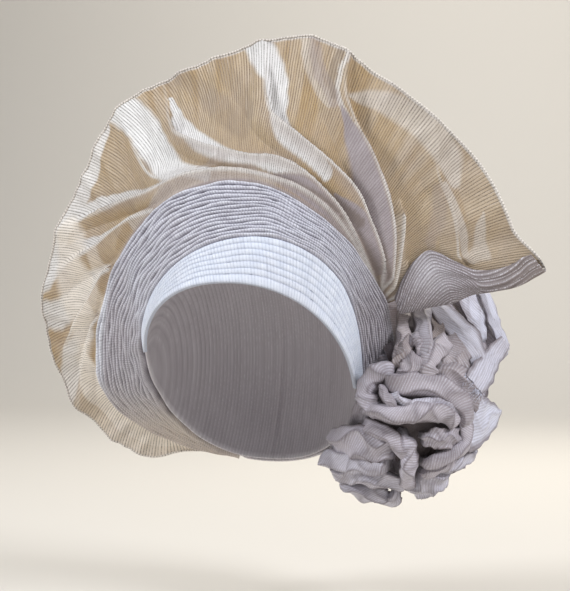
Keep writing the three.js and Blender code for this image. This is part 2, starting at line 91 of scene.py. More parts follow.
# Fan
FAN_FLARE = 0.152
FAN_RISE = 0.196
FAN_START = -160
FAN_END = 74
FAN_SAG = 0.009
FAN_TAPER = 26
CORNER_REACH = 0.014
CORNER_SPAN = 6
FAN_REACH = FAN_RISE - STACK_RISE
FAN_GIRTH = HEAD_HALF_WIDTH + FAN_FLARE / 2
RIPPLE_HEIGHT = 0.0022
FLUTTER_HEIGHT = 0.0006
CREST_WIDTH = 0.0014
RIM_BORDER = 0.978

# Folded border
BORDER_PUFF = 0.0075
BORDER_CREASE = 0.0016
BORDER_SEAT = 0.004
BORDER_TUCK = 0.010
BORDER_GIRTH = 0.05

# Cloth between the crown and the stack
WRAP_CLIMB = 0.76
WRAP_SEAT = 0.93
WRAP_DIP = 0.016
WRAP_GATHER = 0.0016
WRAP_INSET = 0.0042

# Rosette
ROSETTE_MIDDLE = np.array([HEAD_HALF_WIDTH + 0.038, 0.045, -0.023])
ROSETTE_HALF_WIDTH = 0.070
ROSETTE_HALF_HEIGHT = 0.075
ROSETTE_HALF_DEPTH = 0.046
ROSETTE_TURN = math.radians(14)
DOME_ROUNDNESS = 2.4
RIBBON_ROWS = 35
RIBBON_COLUMNS = 112
RIBBON_TUCK = 0.008
RIBBON_CREASE = 0.0024
PLAIN_ARCH = 0.010
PLAIN_CURL = 100
PLAIN_LAY = 70
THREADS = 30
THREAD_RADIUS = 0.00028

# Nape band
NAPE_START = 101
NAPE_END = 198
NAPE_WIDTH = 0.034
NAPE_TUCKS = 4.5

# Shells
SHELL_THICK = 0.0012
END_THICK = 0.0009
CAP_THICK = 0.0016

# Weave
STRIPE = 0.00245
STRIPE_LEAN = 0.5
THREAD = 0.0008
WEAVE_RELIEF = 0.0006

# Camera: the photograph's view
CAMERA_TARGET = Vector((0.0262, 0.0065, 0.0620))
CAMERA_DISTANCE = 1.1
CAMERA_AZIMUTH = math.radians(14)
CAMERA_LENS = 87.1
SENSOR = 36

# Floor, which curves up into a backdrop
FLOOR_DROP = 0.10
FLOOR_SIZE = 6.0
FLOOR_BEND = 1.2
FLOOR_DEPTH = 2.0
BEND_STEPS = 24

# Sections round the head: flares and rises are shares of the flare and rise of each piece
SECTION_START = -165
SECTION_STEP = 15
COLUMNS = ("band_flare", "band_rise", "stack_flare", "stack_rise", "fan_flare", "fan_rise")
SECTIONS = np.array([
    (0.27, 0.05, 0.14, 0.10, 0.17, 0.06),
    (0.27, 0.05, 0.40, 0.13, 0.32, 0.045),
    (0.27, 0.05, 0.64, 0.16, 0.48, 0.055),
    (0.27, 0.05, 0.86, 0.19, 0.645, 0.118),
    (0.27, 0.05, 0.98, 0.27, 0.76, 0.265),
    (0.27, 0.08, 0.875, 0.47, 0.775, 0.45),
    (0.27, 0.18, 0.73, 0.62, 0.68, 0.62),
    (0.27, 0.34, 0.62, 0.76, 0.59, 0.765),
    (0.29, 0.50, 0.51, 0.86, 0.56, 0.89),
    (0.36, 0.66, 0.47, 0.93, 0.46, 0.945),
    (0.52, 0.80, 0.42, 0.98, 0.425, 0.975),
    (0.76, 0.93, 0.40, 0.985, 0.455, 1.0),
    (0.95, 1.0, 0.36, 0.93, 0.545, 0.985),
    (0.95, 1.0, 0.34, 0.83, 0.595, 0.86),
    (0.78, 0.97, 0.34, 0.76, 0.70, 0.72),
    (0.52, 0.86, 0.37, 0.66, 0.84, 0.52),
    (0.35, 0.68, 0.42, 0.57, 0.915, 0.245),
    (0.28, 0.44, 0.42, 0.42, 1.0, 0.0),
    (0.27, 0.20, 0.36, 0.26, 1.0, -0.2),
])

# Folds of the fan: rise and inner width in percent of the fan's reach and how far the cloth lies in layers
# in percent, outer width and overhang in millimetres, and the crest through points of angle and percent
# of the reach.
# The steep side faces larger angles.
FAN_FOLDS = (
    ((9.5, 20, 90), (4, 6), ((68, 2), (60, 15), (50, 34), (40, 51), (31, 66), (26, 78), (24, 100))),
    ((8.5, 15, 90), (4, 6), ((69, 1), (60, 8), (47, 18), (36, 29), (18, 35), (8, 45), (4, 62), (2, 100))),
    ((8, 10, 80), (4, 5), ((66, 0.5), (45, 6), (27, 14), (12, 17), (2, 16), (-10, 25), (-20, 40),
     (-28, 62), (-29, 100))),
    ((7, 9, 70), (3, 4), ((58, 1), (30, 7), (7, 6), (-20, 10), (-38, 18), (-53, 39), (-64, 64),
     (-76, 100))),
    ((6, 14, 10), (10, 1), ((-12, 9), (-28, 19), (-37, 35), (-42, 65), (-44, 100))),
    ((8.5, 17, 40), (5, 4), ((-36, 3), (-50, 12), (-62, 29), (-72, 48), (-80, 73), (-88, 100))),
    ((7, 15, 30), (5, 3), ((-66, 6), (-81, 24), (-92, 45), (-99, 70), (-104, 100))),
    ((5, 14, 30), (6, 2), ((-84, 5), (-97, 22), (-104, 45), (-109, 69), (-114, 100))),
    ((5, 12, 10), (8, 1), ((69, 59), (62, 68), (54, 76), (49, 90), (45, 100))),
    ((6, 9, 30), (4, 4), ((72, 0), (68.5, 7), (63.5, 17), (58.5, 28), (54, 40))),
    ((4.5, 6, 50), (3, 3), ((73, 3), (70, 12), (66.5, 22))),
)

# Folded border: percents of the fan's reach, each with the angles of its upper line and its lower edge
BORDER_LINE = (
    (8, 71.5, 77.2), (12, 69.8, 77.6), (18, 67.5, 78), (28, 65.2, 78.6), (40, 64.5, 78.6),
    (47, 66.3, 77.9), (54, 69.5, 77.1), (60, 72, 76.6), (73, 72.8, 76.3), (85, 72.3, 75.6),
    (93, 71.6, 74.7), (100, 71.3, 74),
)

# Tints of the fan's cloth: painted highlights, painted shade, doubled layers and cream or tan tints, the
# cream ones on the left partly painted light that lifts the shaded side. Each is a tone, its strength in
# percent, its half widths in millimetres, and a path of angle and percent of the reach
FAN_TINTS = (
    ("white_and_painted_highlight", 100, (12, 14, 14, 12, 6), ((-43.5, 100), (-39, 80), (-35, 53), (-27, 24), (-12, 7))),
    ("white_and_painted_highlight", 100, (2, 7, 9, 8, 6, 4), ((-28, 86), (-25, 62), (-16.5, 37), (-5, 20), (8, 14), (24, 12))),
    ("white_and_painted_highlight", 100, (10, 11, 9, 9, 8, 5), ((0, 100), (5, 80), (8, 62), (9, 47), (14, 34), (28, 25))),
    ("white_and_painted_highlight", 85, (5, 9, 11, 11, 9), ((-50, 99), (-58, 94), (-66, 93), (-76, 94), (-86, 97))),
    ("white_and_painted_highlight", 90, (7, 6, 4, 3, 2), ((-75, 100), (-62, 66), (-51, 42), (-36, 20), (-20, 11))),
    ("white_and_painted_highlight", 90, (10, 8, 6, 4, 2), ((-86, 100), (-78, 75), (-70, 50), (-60, 32), (-42, 9))),
    ("white_and_painted_highlight", 80, (9, 11, 11, 7), ((-94, 99), (-92, 72), (-82, 42), (-70, 14))),
    ("white_and_painted_highlight", 75, (9, 13, 12, 8), ((-110, 99), (-104, 70), (-98, 40), (-90, 12))),
    ("white_and_painted_highlight", 70, (2, 2, 2, 2, 2, 2), ((24, 99), (23.5, 82), (25, 70), (34, 59), (48, 36), (63, 12))),
    ("white_and_painted_highlight", 50, (1, 8, 12, 14, 12, 5), ((27, 78), (34, 86), (40, 90), (46, 92), (52, 88), (57, 80))),
    ("white_and_painted_highlight", 50, (3, 4, 4, 3), ((56, 74), (61, 70), (66, 67), (69.5, 62))),
    ("white_and_painted_highlight", 45, (1, 5, 5, 3), ((64, 86), (67, 78), (70, 71), (71, 61))),
    ("warm", 40, (3, 7, 8, 5), ((70, 4), (65, 14), (60, 24), (54, 36))),
    ("layers", 45, (4, 6, 6, 4), ((15, 100), (18, 84), (21, 76), (24, 68))),
    ("white_and_painted_highlight", 40, (5, 7, 6, 3), ((13, 100), (16, 84), (19, 74), (23, 66))),
    ("layers", 100, (1, 6, 12, 13, 11, 9, 5), ((26, 68), (31, 58), (37, 48), (42, 37), (47, 28), (55, 17),
     (65, 6))),
    ("layers", 30, (3, 6, 7), ((-16, 16), (2, 20), (16, 18))),
    ("layers", 100, (1, 6, 8, 6), ((33, 18), (42, 15), (50, 11), (60, 5))),
    ("layers", 45, (4, 6, 7), ((-40, 6), (-20, 6), (4, 5))),
    ("white_and_painted_highlight", 45, (5, 7, 7, 4), ((-46, 5), (-26, 6), (-6, 5), (12, 5))),
    ("layers", 100, (1, 7, 8, 6), ((4, 5), (24, 8), (42, 8), (60, 2))),
    ("layers", 30, (5, 6, 5), ((56, 70), (60, 60), (64, 45))),
    ("painted_shade", 35, (7, 9, 12, 8), ((-24, 98), (-17, 80), (-10, 60), (-2, 40))),
    ("painted_shade", 30, (6, 8, 8, 6), ((-11, 99), (-8, 84), (-4, 68), (0, 52))),
    ("painted_shade", 50, (3, 4, 3), ((22, 97), (22, 83), (23, 72))),
    ("painted_shade", 55, (3, 5, 5, 4), ((-20, 12), (0, 12), (22, 16), (44, 13))),
    ("painted_shade", 28, (5, 8, 10, 9), ((-66, 90), (-62, 68), (-54, 44), (-46, 26))),
    ("painted_shade", 15, (5, 8, 9, 8), ((-80, 90), (-74, 60), (-62, 33), (-54, 15))),
    ("warm", 95, (18, 26, 30, 26), ((-150, 50), (-130, 60), (-115, 50), (-104, 30))),
    ("warm", 85, (16, 26, 28), ((-76, 85), (-84, 60), (-90, 30))),
    ("warm", 50, (8, 14, 16), ((-70, 45), (-75, 28), (-80, 10))),
)

# Folds of the rosette, front to back: name, widths in millimetres, arch in percent of the half width, curl,
# lay, warm brown tint in percent (partly painted shade), and path. A point is (right, up, forward) in percent
# of the half width, half height and half depth, forward from the rounded front. Widths come one for each
# point. Curl is half the arc of a fold's section in degrees, and lay turns the stripes.
ROSETTE_FOLDS = (
    ("torn_end", (27, 20, 16, 13), 2, 35, 8, 20, ((61, 24, 30), (74, 37, 36), (88, 52, 40),
     (102, 67, 42))),
    ("upper_tube", (9, 12, 13, 13, 12, 10, 8), 10, 105, 80, 15, ((-39, 28, 12), (-19, 24, 20),
     (5, 21.5, 22), (28, 17.5, 20), (43, 7, 16), (50, -8, 10), (49, -22, 2))),
    ("hood_lip", (6, 6, 6, 6, 6, 5, 5), 6, 120, 80, 10, ((-29, 21, 20), (-22, 10.5, 24), (-9, 4, 26),
     (8, 6.5, 24), (25, 5, 20), (37.5, -3.5, 14), (45, -16, 6))),
    ("lower_tube", (9, 10, 11, 12, 11, 10, 7), 12, 115, 75, 10, ((-57, -5, 0), (-42, -5, 14),
     (-22, -7.5, 24), (1, -5, 28), (21, -3.5, 26), (33, -10, 20), (39.5, -20, 8))),
    ("ear_loop", (9, 11, 12, 12, 11, 8), 10, 115, 70, 0, ((-25, 32, 10), (-36, 36, 18), (-47.5, 28, 18),
     (-51, 16, 14), (-46.5, 5, 12), (-34, 1, 4))),
    ("ear_tuck", (5, 6, 6, 5), 6, 110, 60, 10, ((-40, 24, 16), (-36, 13, 22), (-30, 6, 24),
     (-26, 0, 18))),
    ("slant_loop", (12, 12, 11, 9, 7), 8, 105, 85, 20, ((36, 73.5, 24), (21.5, 62, 30), (11.5, 48, 30),
     (9, 35.5, 26), (14, 26, 16))),
    ("slant_back", (22, 27, 27, 20), 6, 60, 70, 40, ((40, 74, 12), (42, 60, 15), (38.5, 47, 14),
     (28, 37, 10))),
    ("upper_panel", (14, 22, 25, 18, 12), 5, 60, 20, 15, ((20, 112, 6), (43, 86, 24), (58.5, 68.5, 30),
     (67, 53, 28), (67, 40, 18))),
    ("side_panel", (30, 21, 13, 4), 3, 45, 30, 10, ((60, 126, 6), (70, 97, 22), (75.5, 81, 26),
     (79.5, 64, 22))),
    ("side_loop", (12, 13, 12, 12, 9), 5, 75, 10, 0, ((80, 124, 6), (89, 99, 20), (93, 83, 24),
     (101, 66, 24), (108, 50, 14))),
    ("side_back", (26, 36, 38, 24), 3, 40, 35, 20, ((40, 122, -10), (60, 98, 6), (76, 76, 8),
     (84, 50, 0))),
    ("knot_screen", (44, 52, 56, 48), 3, 40, 60, 30, ((-8, 130, -36), (-2, 95, -30), (5, 65, -26),
     (5, 35, -24))),
    ("right_drape", (9, 13, 15, 15, 13), 8, 85, 75, 35, ((18, 31, 10), (33, 34, 15), (47, 28, 15),
     (55, 12, 12), (58, -5, 6))),
    ("knot_loop", (9, 10, 10, 10, 7), 9, 110, 85, 25, ((12, 110, 8), (8, 88, 25), (7, 73, 32),
     (8, 61, 30), (5.5, 46.5, 18))),
    ("knot_curl", (6, 7, 7, 6), 8, 115, 85, 15, ((-7, 67, 22), (0.5, 73, 30), (6.5, 65.5, 32),
     (7, 54.5, 24))),
    ("knot_fold", (6, 8, 8, 8, 6), 8, 100, 80, 50, ((-8, 110, 2), (-13, 85, 15), (-14, 70, 19),
     (-19, 56, 17), (-24, 43, 8))),
    ("knot_leaf", (12, 13, 10, 5), 5, 80, 40, 25, ((-2, 54.5, 22), (-7, 45, 28), (-15.5, 37, 25),
     (-24, 31.5, 14))),
    ("knot_back", (8, 9, 8, 6), 8, 100, 80, 60, ((-2, 73, 12), (-10.5, 57.5, 20), (-15.5, 50, 20),
     (-22, 40, 10))),
    ("hollow_panel", (10, 11, 9), 4, 70, 60, 90, ((20, 106, 0), (26.5, 80, 10), (23, 62, 10))),
    ("right_arc", (8, 10, 10, 10, 9, 7), 9, 110, 75, 10, ((52, -0.5, 4), (57, -18, 12), (55.5, -35, 15),
     (43.5, -46, 16), (25, -54, 15), (8, -61, 6))),
    ("inner_arc", (7, 8, 8, 6), 8, 105, 70, 10, ((56, -43, 2), (38.5, -52, 6), (21.5, -60, 9),
     (5, -66.5, 4))),
    ("side_screen", (20, 24, 20), 3, 40, 60, 0, ((60, 46, -24), (66, 22, -18), (64, -2, -20))),
    ("pointed_lobe", (50, 42, 26, 3), 4, 40, 12, 0, ((52, -12, 3), (67, -13, 8), (82, -11, 6),
     (98.5, -8, 0))),
    ("corner_lobe", (6, 11, 12, 9), 8, 90, 60, 0, ((68, -47, 0), (56, -54.5, 6), (42, -59, 7),
     (28, -66, 2))),
    ("pocket_fold", (9, 13, 14, 11), 6, 80, 70, 10, ((5, -32, 5), (20, -29.5, 11), (33.5, -30.5, 11),
     (46, -28, 5))),
    ("chin_fold", (7, 8, 8, 8, 7, 5), 8, 105, 75, 10, ((-57, -14, 0), (-42, -19.5, 8), (-29, -25, 11),
     (-19, -33.5, 13), (-12, -44, 12), (-7, -49, 6))),
    ("centre_fold", (7, 9, 10, 10, 8), 10, 105, 80, 0, ((-15, -23, 2), (-7, -37, 8), (-5.5, -52, 14),
     (-5.5, -68, 12), (-3.5, -86, 0))),
    ("left_sheet", (18, 24, 26, 20), 8, 75, 60, 0, ((-90, -41, -2), (-68, -37, 4), (-44, -38, 7),
     (-24, -42, 3))),
    ("left_lobe", (9, 14, 15, 13, 9), 10, 100, 65, 0, ((-100, -64, 0), (-84, -60, 8), (-63, -63, 12),
     (-42, -62, 11), (-29, -54, 4))),
    ("bottom_lobe", (9, 13, 15, 14, 10), 10, 95, 60, 0, ((-89, -74, -2), (-68, -74, 6), (-46, -75, 10),
     (-25, -78, 8), (-14, -84, 0))),
    ("under_lobe", (9, 13, 15, 13, 8), 9, 95, 60, 0, ((-79, -86, -4), (-58, -92, 2), (-38, -97, 5),
     (-22, -98.5, 3), (-14, -91, -4))),
    ("bottom_arc", (12, 19, 20, 12), 8, 85, 65, 0, ((36, -67, 0), (20, -74.5, 5), (8, -81, 3),
     (-2, -88, -5))),
)

# Folds with free ends, how far the rough folds are widened, and how rough the flatter folds are
FREE_ENDS = ("torn_end", "pointed_lobe")
FOLD_WIDEN = 1.17
FLAT_FOLDS = {"torn_end": 0.25, "pointed_lobe": 0.5, "side_loop": 0.55, "side_panel": 0.5, "upper_panel": 0.5,
              "side_back": 0.6, "side_screen": 0.6, "knot_screen": 0.8, "slant_back": 0.8}

# Plain folds: label, count, percents of distance from the middle and of depth along each fold, widths in
# millimetres, and side. A depth of None follows the rounded back.
BACK_FOLDS = ("back", 11, (12, 34, 56, 76, 90), (None,) * 5, (12, 21, 28, 30, 20), -1)
RIM_FOLDS = ("rim", 12, (56, 68, 72, 70, 60), (50, 20, -8, -36, -62), (20, 27, 30, 28, 20), 0)


# Small helpers

def mix(a, b, share):
    return a + (b - a) * share


def smooth(x):
    x = np.clip(x, 0, 1)
    return x * x * (3 - 2 * x)


def norm(v):
    return np.linalg.norm(v, axis=-1)


def unit(v):
    return v / np.maximum(norm(v), 1e-12)[..., None]


def pair(x, y):
    """Two numbers for each point, side by side."""
    return np.stack(np.broadcast_arrays(x, y), axis=-1)


def travelled(line):
    """The length of a line up to each of its points."""
    return np.concatenate([[0], np.cumsum(norm(np.diff(line, axis=0)))])


def wobble(x, seed, waves=5):
    """Smooth noise of about -1 to 1 along x, with features of about one unit."""
    rng = np.random.default_rng(seed)
    total = 0
    for _ in range(waves):
        total = total + np.sin(x * rng.uniform(0.6, 2.2) * math.pi + rng.uniform(0, 2 * math.pi))
    return total / math.sqrt(2 * waves)


def crumple(points, size, seed, waves=9):
    """Smooth noise of about -1 to 1 in space, with features of about the given size."""
    rng = np.random.default_rng(seed)
    total = 0
    for _ in range(waves):
        way = unit(rng.normal(size=3)) * math.pi / (size * rng.uniform(0.6, 1.6))
        total = total + np.sin(points @ way + rng.uniform(0, 2 * math.pi))
    return total / math.sqrt(2 * waves)


def curve_through(knots, count):
    """A smooth curve of count rows through the knots, one row each."""
    knots = np.asarray(knots, float)
    padded = np.vstack([2 * knots[0] - knots[1], knots, 2 * knots[-1] - knots[-2]])
    x = np.linspace(0, len(knots) - 1.0001, count)
    i = x.astype(int)
    s = (x - i)[:, None]
    a, b, c, d = (padded[i + k] for k in range(4))
    return 0.5 * (2 * b + (c - a) * s + (2 * a - 5 * b + 4 * c - d) * s**2 + (3 * b - a - 3 * c + d) * s**3)


def widths_through(widths, count):
    """Widths in metres along a curve, from widths in millimetres at its knots."""
    return curve_through(np.reshape(widths, (-1, 1)) / MILLI, count)[:, 0]


# The form that the pieces follow

def section(column, angle):
    """A column of the sections at any angle, through a smooth curve."""
    values = SECTIONS[:, COLUMNS.index(column)]
    last = len(values) - 1
    x = np.clip((np.asarray(angle, float) - SECTION_START) / SECTION_STEP, 0, last - 0.001)
    i = x.astype(int)
    s = x - i
    here, after = values[i], values[i + 1]
    slope_here = (after - values[np.maximum(i - 1, 0)]) / 2
    slope_after = (values[np.minimum(i + 2, last)] - here) / 2
    rest = 1 - s
    return (here * (1 + 2 * s) * rest**2 + slope_here * s * rest**2
            + after * s**2 * (3 - 2 * s) - slope_after * s**2 * rest)


def rim(angle):
    """The half width of the head opening in a direction round it."""
    side = np.abs(np.sin(np.radians(angle))) / HEAD_HALF_WIDTH
    front = np.abs(np.cos(np.radians(angle))) / HEAD_HALF_LENGTH
    return (side**HEAD_ROUNDNESS + front**HEAD_ROUNDNESS) ** (-1 / HEAD_ROUNDNESS)


def place(angle, point):
    """A point in space from its angle round the opening's axis and its section point.

    A section point is a distance out from the axis and a height along it.
    """
    out, up = point[..., 0], point[..., 1]
    ahead = out * np.cos(np.radians(angle))
    return np.stack([
        out * np.sin(np.radians(angle)),
        up * math.sin(OPENING_TILT) - ahead * math.cos(OPENING_TILT),
        up * math.cos(OPENING_TILT) + ahead * math.sin(OPENING_TILT),
    ], axis=-1)


def band_top(angle):
    return pair(rim(angle) + BAND_FLARE * section("band_flare", angle),
                BAND_RISE * section("band_rise", angle))


def stack_top(angle):
    return pair(rim(angle) + STACK_FLARE * section("stack_flare", angle),
                STACK_RISE * section("stack_rise", angle))


def fan_edge(angle):
    corner = CORNER_REACH * smooth((angle - FAN_END) / CORNER_SPAN + 1)
    return pair(rim(angle) + FAN_FLARE * section("fan_flare", angle) + corner,
                FAN_RISE * section("fan_rise", angle))


def on_run(start, end, along, offset):
    """A point on the straight run between two section points: a length along it and an offset outward."""
    way = unit(end - start)
    normal = pair(way[..., 1], -way[..., 0])
    along, offset = (np.asarray(value)[..., None] for value in (along, offset))
    return start + way * along + normal * offset


def run_length(start, end):
    return norm(end - start)


def fan_point(angle, share, lift):
    start, end = stack_top(angle), fan_edge(angle)
    offset = lift - 4 * FAN_SAG * share * (1 - share)
    return place(angle, on_run(start, end, share * run_length(start, end), offset))


def on_head(angle, up, offset):
    """A section point that stands off the head's form by an offset, at a height on the opening's axis."""
    level = (np.maximum(0, up) / (HEAD_DEPTH + offset)) ** HEAD_ROUNDNESS
    return pair((rim(angle) + offset) * np.maximum(0, 1 - level) ** (1 / HEAD_ROUNDNESS), up)


def clear_of_head(points):
    """Points moved out of the head's form, square to the opening's axis."""
    back = points[..., 1] * math.sin(OPENING_TILT) + points[..., 2] * math.cos(OPENING_TILT)
    ahead = points[..., 2] * math.sin(OPENING_TILT) - points[..., 1] * math.cos(OPENING_TILT)
    angle = np.degrees(np.arctan2(points[..., 0], ahead))
    out = np.hypot(points[..., 0], ahead)
    least = on_head(angle, np.clip(back, 0, HEAD_DEPTH), HEAD_CLEARANCE)[..., 0] * smooth(back / 0.012 + 1)
    return place(angle, pair(np.maximum(out, least), back))


# Meshes

def show(name, data):
    """A new object in the scene."""
    thing = bpy.data.objects.new(name, data)
    bpy.context.scene.collection.objects.link(thing)
    return thing


def sheet_grid(rows, columns, start, end):
    """Shares across a sheet and angles along it."""
    return np.meshgrid(np.linspace(0, 1, rows), np.linspace(start, end, columns), indexing="ij")


def grid_normals(points):
    across = np.gradient(points, axis=1)
    down = np.gradient(points, axis=0)
    return unit(np.cross(down, across))


def crumpled(points, height, size, seed, share=1):
    """Points moved along their normals by smooth noise of a height and a size."""
    return points + grid_normals(points) * (height * crumple(points, size, seed) * share)[..., None]


def grid_faces(rows, columns, start=0, flip=False, closed=False):
    index = start + np.arange(rows * columns).reshape(rows, columns)
    if closed:
        index = np.vstack([index, index[:1]])
    corners = [index[:-1, :-1], index[1:, :-1], index[1:, 1:], index[:-1, 1:]]
    return np.stack([c.ravel() for c in (corners[::-1] if flip else corners)], axis=1)


def rim_faces(rows, columns, back):
    """Faces that join the edge of the front grid to the edge of the back grid."""
    index = np.arange(rows * columns).reshape(rows, columns)
    loop = np.concatenate([index[0, :-1], index[:-1, -1], index[-1, :0:-1], index[:0:-1, 0]])
    after = np.roll(loop, -1)
    return np.stack([loop, after, after + back, loop + back], axis=1)


def make_piece(name, points, faces, cloth, tones, material, replaces=()):
    """A smooth mesh with its flat cloth coordinates and its tones, riding on the root.

    A tone is a number for each point or one for all, and a missing one counts as 0.
    """
    mesh = bpy.data.meshes.new(name)
    mesh.from_pydata(points.reshape(-1, 3).tolist(), [], [list(face) for face in faces])
    mesh.validate()
    loops = np.empty(len(mesh.loops), np.int32)
    mesh.loops.foreach_get("vertex_index", loops)
    layer = mesh.uv_layers.new(name="cloth")
    layer.data.foreach_set("uv", cloth.reshape(-1, 2)[loops].astype(np.float32).ravel())
    for tone, values in tones.items():
        values = np.broadcast_to(values, cloth.shape[:-1]).astype(np.float32)
        mesh.attributes.new(tone, "FLOAT", "POINT").data.foreach_set("value", values.ravel())
    mesh.polygons.foreach_set("use_smooth", np.ones(len(mesh.polygons), bool))
    mesh.materials.append(material)
    piece = show(name, mesh)
    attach(piece, "root")
    if replaces:
        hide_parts(*replaces)
    return piece


def make_shell(name, points, cloth, tones, thick, material, replaces=(), flip=False):
    """A thin closed shell: the grid of points is its outer face."""
    rows, columns = points.shape[:2]
    normals = grid_normals(points) * (-1 if flip else 1)
    both = np.concatenate([points.reshape(-1, 3), (points - normals * thick).reshape(-1, 3)])
    back = rows * columns
    rims = rim_faces(rows, columns, back)
    faces = np.concatenate([
        grid_faces(rows, columns, flip=flip), grid_faces(rows, columns, start=back, flip=not flip),
        rims[:, ::-1] if flip else rims,
    ])
    twice = np.tile(cloth.reshape(-1, 2), (2, 1))
    tones = {tone: np.tile(np.broadcast_to(values, (rows, columns)).ravel(), 2)
             for tone, values in tones.items()}
    return make_piece(name, both, faces, twice, tones, material, replaces)


# Materials

class Nodes:
    """Short calls for building a node tree."""

    def __init__(self, name):
        self.material = bpy.data.materials.new(name)
        self.material.use_nodes = True
        self.tree = self.material.node_tree
        self.shader = self.tree.nodes["Principled BSDF"]

    def feed(self, node, inputs):
        """Give a node's inputs numbers, colours or the outputs of other nodes."""
        for key, value in inputs.items():
            if isinstance(value, bpy.types.NodeSocket):
                self.tree.links.new(value, node.inputs[key])
            else:
                node.inputs[key].default_value = (*value, 1) if isinstance(value, tuple) else value

    def add(self, kind, inputs, **settings):
        node = self.tree.nodes.new(kind)
        for key, value in settings.items():
            setattr(node, key, value)
        self.feed(node, inputs)
        return node.outputs

    def math(self, operation, a, b=0.0, clamp=False):
        return self.add("ShaderNodeMath", {0: a, 1: b}, operation=operation, use_clamp=clamp)[0]

    def times(self, a, b, clamp=False):
        return self.math("MULTIPLY", a, b, clamp)

    def tone(self, name):
        return self.add("ShaderNodeAttribute", {}, attribute_name=name)["Fac"]

    def blend(self, share, a, b):
        return self.add("ShaderNodeMix", {0: share, 6: a, 7: b}, data_type="RGBA")[2]

    def join(self, x, y):
        return self.add("ShaderNodeCombineXYZ", {0: x, 1: y})[0]

    def noise(self, vector, scale, detail, rough=0.5):
        inputs = {"Vector": vector, "Scale": scale, "Detail": detail, "Roughness": rough}
        return self.add("ShaderNodeTexNoise", inputs)["Fac"]

    def stretch(self, low, value, high, to_low=0.0, to_high=1.0):
        inputs = {0: value, 1: low, 2: high, 3: to_low, 4: to_high}
        return self.add("ShaderNodeMapRange", inputs, clamp=True)[0]


def cloth_material(name, thread, line, white_and_painted_highlight, shade, warm, painted_shade, line_share=0.5, line_depth=0.85, sheer=0.0,
                   stripe=STRIPE, bump=0.4, rough=0.46, glint=0.5):
    """Striped semi-sheer cloth: wide satin threads with thin dark dotted lines between them.

    thread and line colour the bands and the lines, white_and_painted_highlight the whiter parts and the
    painted highlights where the cloth turns to the light, shade the parts of several layers, warm the cream
    and brown tints (partly painted light and shade) and painted_shade the painted shade in creases and
    recesses. sheer is how far the cloth lets light through.
    """
    n = Nodes(name)
    flat = n.add("ShaderNodeSeparateXYZ", {0: n.add("ShaderNodeUVMap", {}, uv_map="cloth")[0]})
    across = n.math("DIVIDE", flat[0], stripe)
    along = n.math("DIVIDE", flat[1], THREAD)
    speck = n.noise(n.join(across, along), 1.3, 1.0)
    slub = n.noise(n.join(across, n.times(along, 0.06)), 0.9, 2.0, 0.6)
    row = n.noise(n.join(n.math("FLOOR", n.math("ADD", across, 0.5)), n.times(along, 0.02)), 0.83, 1.0)
    wave = n.times(n.math("PINGPONG", across, 0.5), 2.0)
    groove = n.stretch(0.0, wave, line_share, 1.0, 0.0)
    cloud = n.noise(n.add("ShaderNodeTexCoord", {})["Object"], 34.0, 3.0, 0.55)
    lit = n.tone("white_and_painted_highlight")
    layers = n.tone("layers")
    # Blend toward the highlight colour where the cloth is whiter and where a highlight is painted
    base = n.blend(lit, thread, white_and_painted_highlight)
    base = n.blend(layers, base, shade)
    base = n.blend(n.tone("warm"), base, warm)
    base = n.blend(n.stretch(0.4, cloud, 0.72, 0.0, 0.20), base, shade)
    base = n.blend(n.stretch(0.35, slub, 0.75, 0.0, 0.22), base, line)
    dots = n.times(n.stretch(0.32, speck, 0.60, 1.0, 0.35), n.stretch(0.3, row, 0.65, 0.45, 1.0))
    dots = n.times(dots, line_depth, clamp=True)
    colour = n.blend(n.times(groove, dots), base, n.blend(n.times(layers, 0.5), line, shade))
    # Painted glints along the tops of the threads
    painted_glint = n.times(n.stretch(0.62, wave, 0.95), n.stretch(0.42, speck, 0.66))
    colour = n.blend(n.times(painted_glint, glint), colour, white_and_painted_highlight)
    # Painted shade in creases, gaps and recesses
    colour = n.blend(n.tone("painted_shade"), colour, painted_shade)
    n.feed(n.shader, {"Base Color": colour, "Sheen Weight": 0.2, "Sheen Roughness": 0.4,
                      "Specular IOR Level": 0.4,
                      "Roughness": n.stretch(0.3, slub, 0.7, rough - 0.07, rough + 0.12)})
    if sheer:
        open_share = n.times(n.math("ADD", n.times(groove, 0.8), 0.2), sheer)
        solid = n.math("MAXIMUM", layers, n.times(lit, 0.7))
        cleared = n.times(open_share, n.math("SUBTRACT", 1.0, solid))
        n.feed(n.shader, {"Alpha": n.math("SUBTRACT", 1.0, cleared)})
    relief = n.math("ADD", n.times(slub, 0.5), n.times(speck, 0.35))
    height = n.math("SUBTRACT", relief, groove)
    bumps = n.add("ShaderNodeBump", {"Strength": bump, "Distance": WEAVE_RELIEF, "Height": height})
    n.feed(n.shader, {"Normal": bumps[0]})
    return n.material


WHITE = (0.86, 0.85, 0.84)
LAVENDER = (0.37, 0.32, 0.335)
SILVER = (0.62, 0.60, 0.64)
COOL = (0.64, 0.70, 0.83)
CREAM = (0.90, 0.82, 0.72)

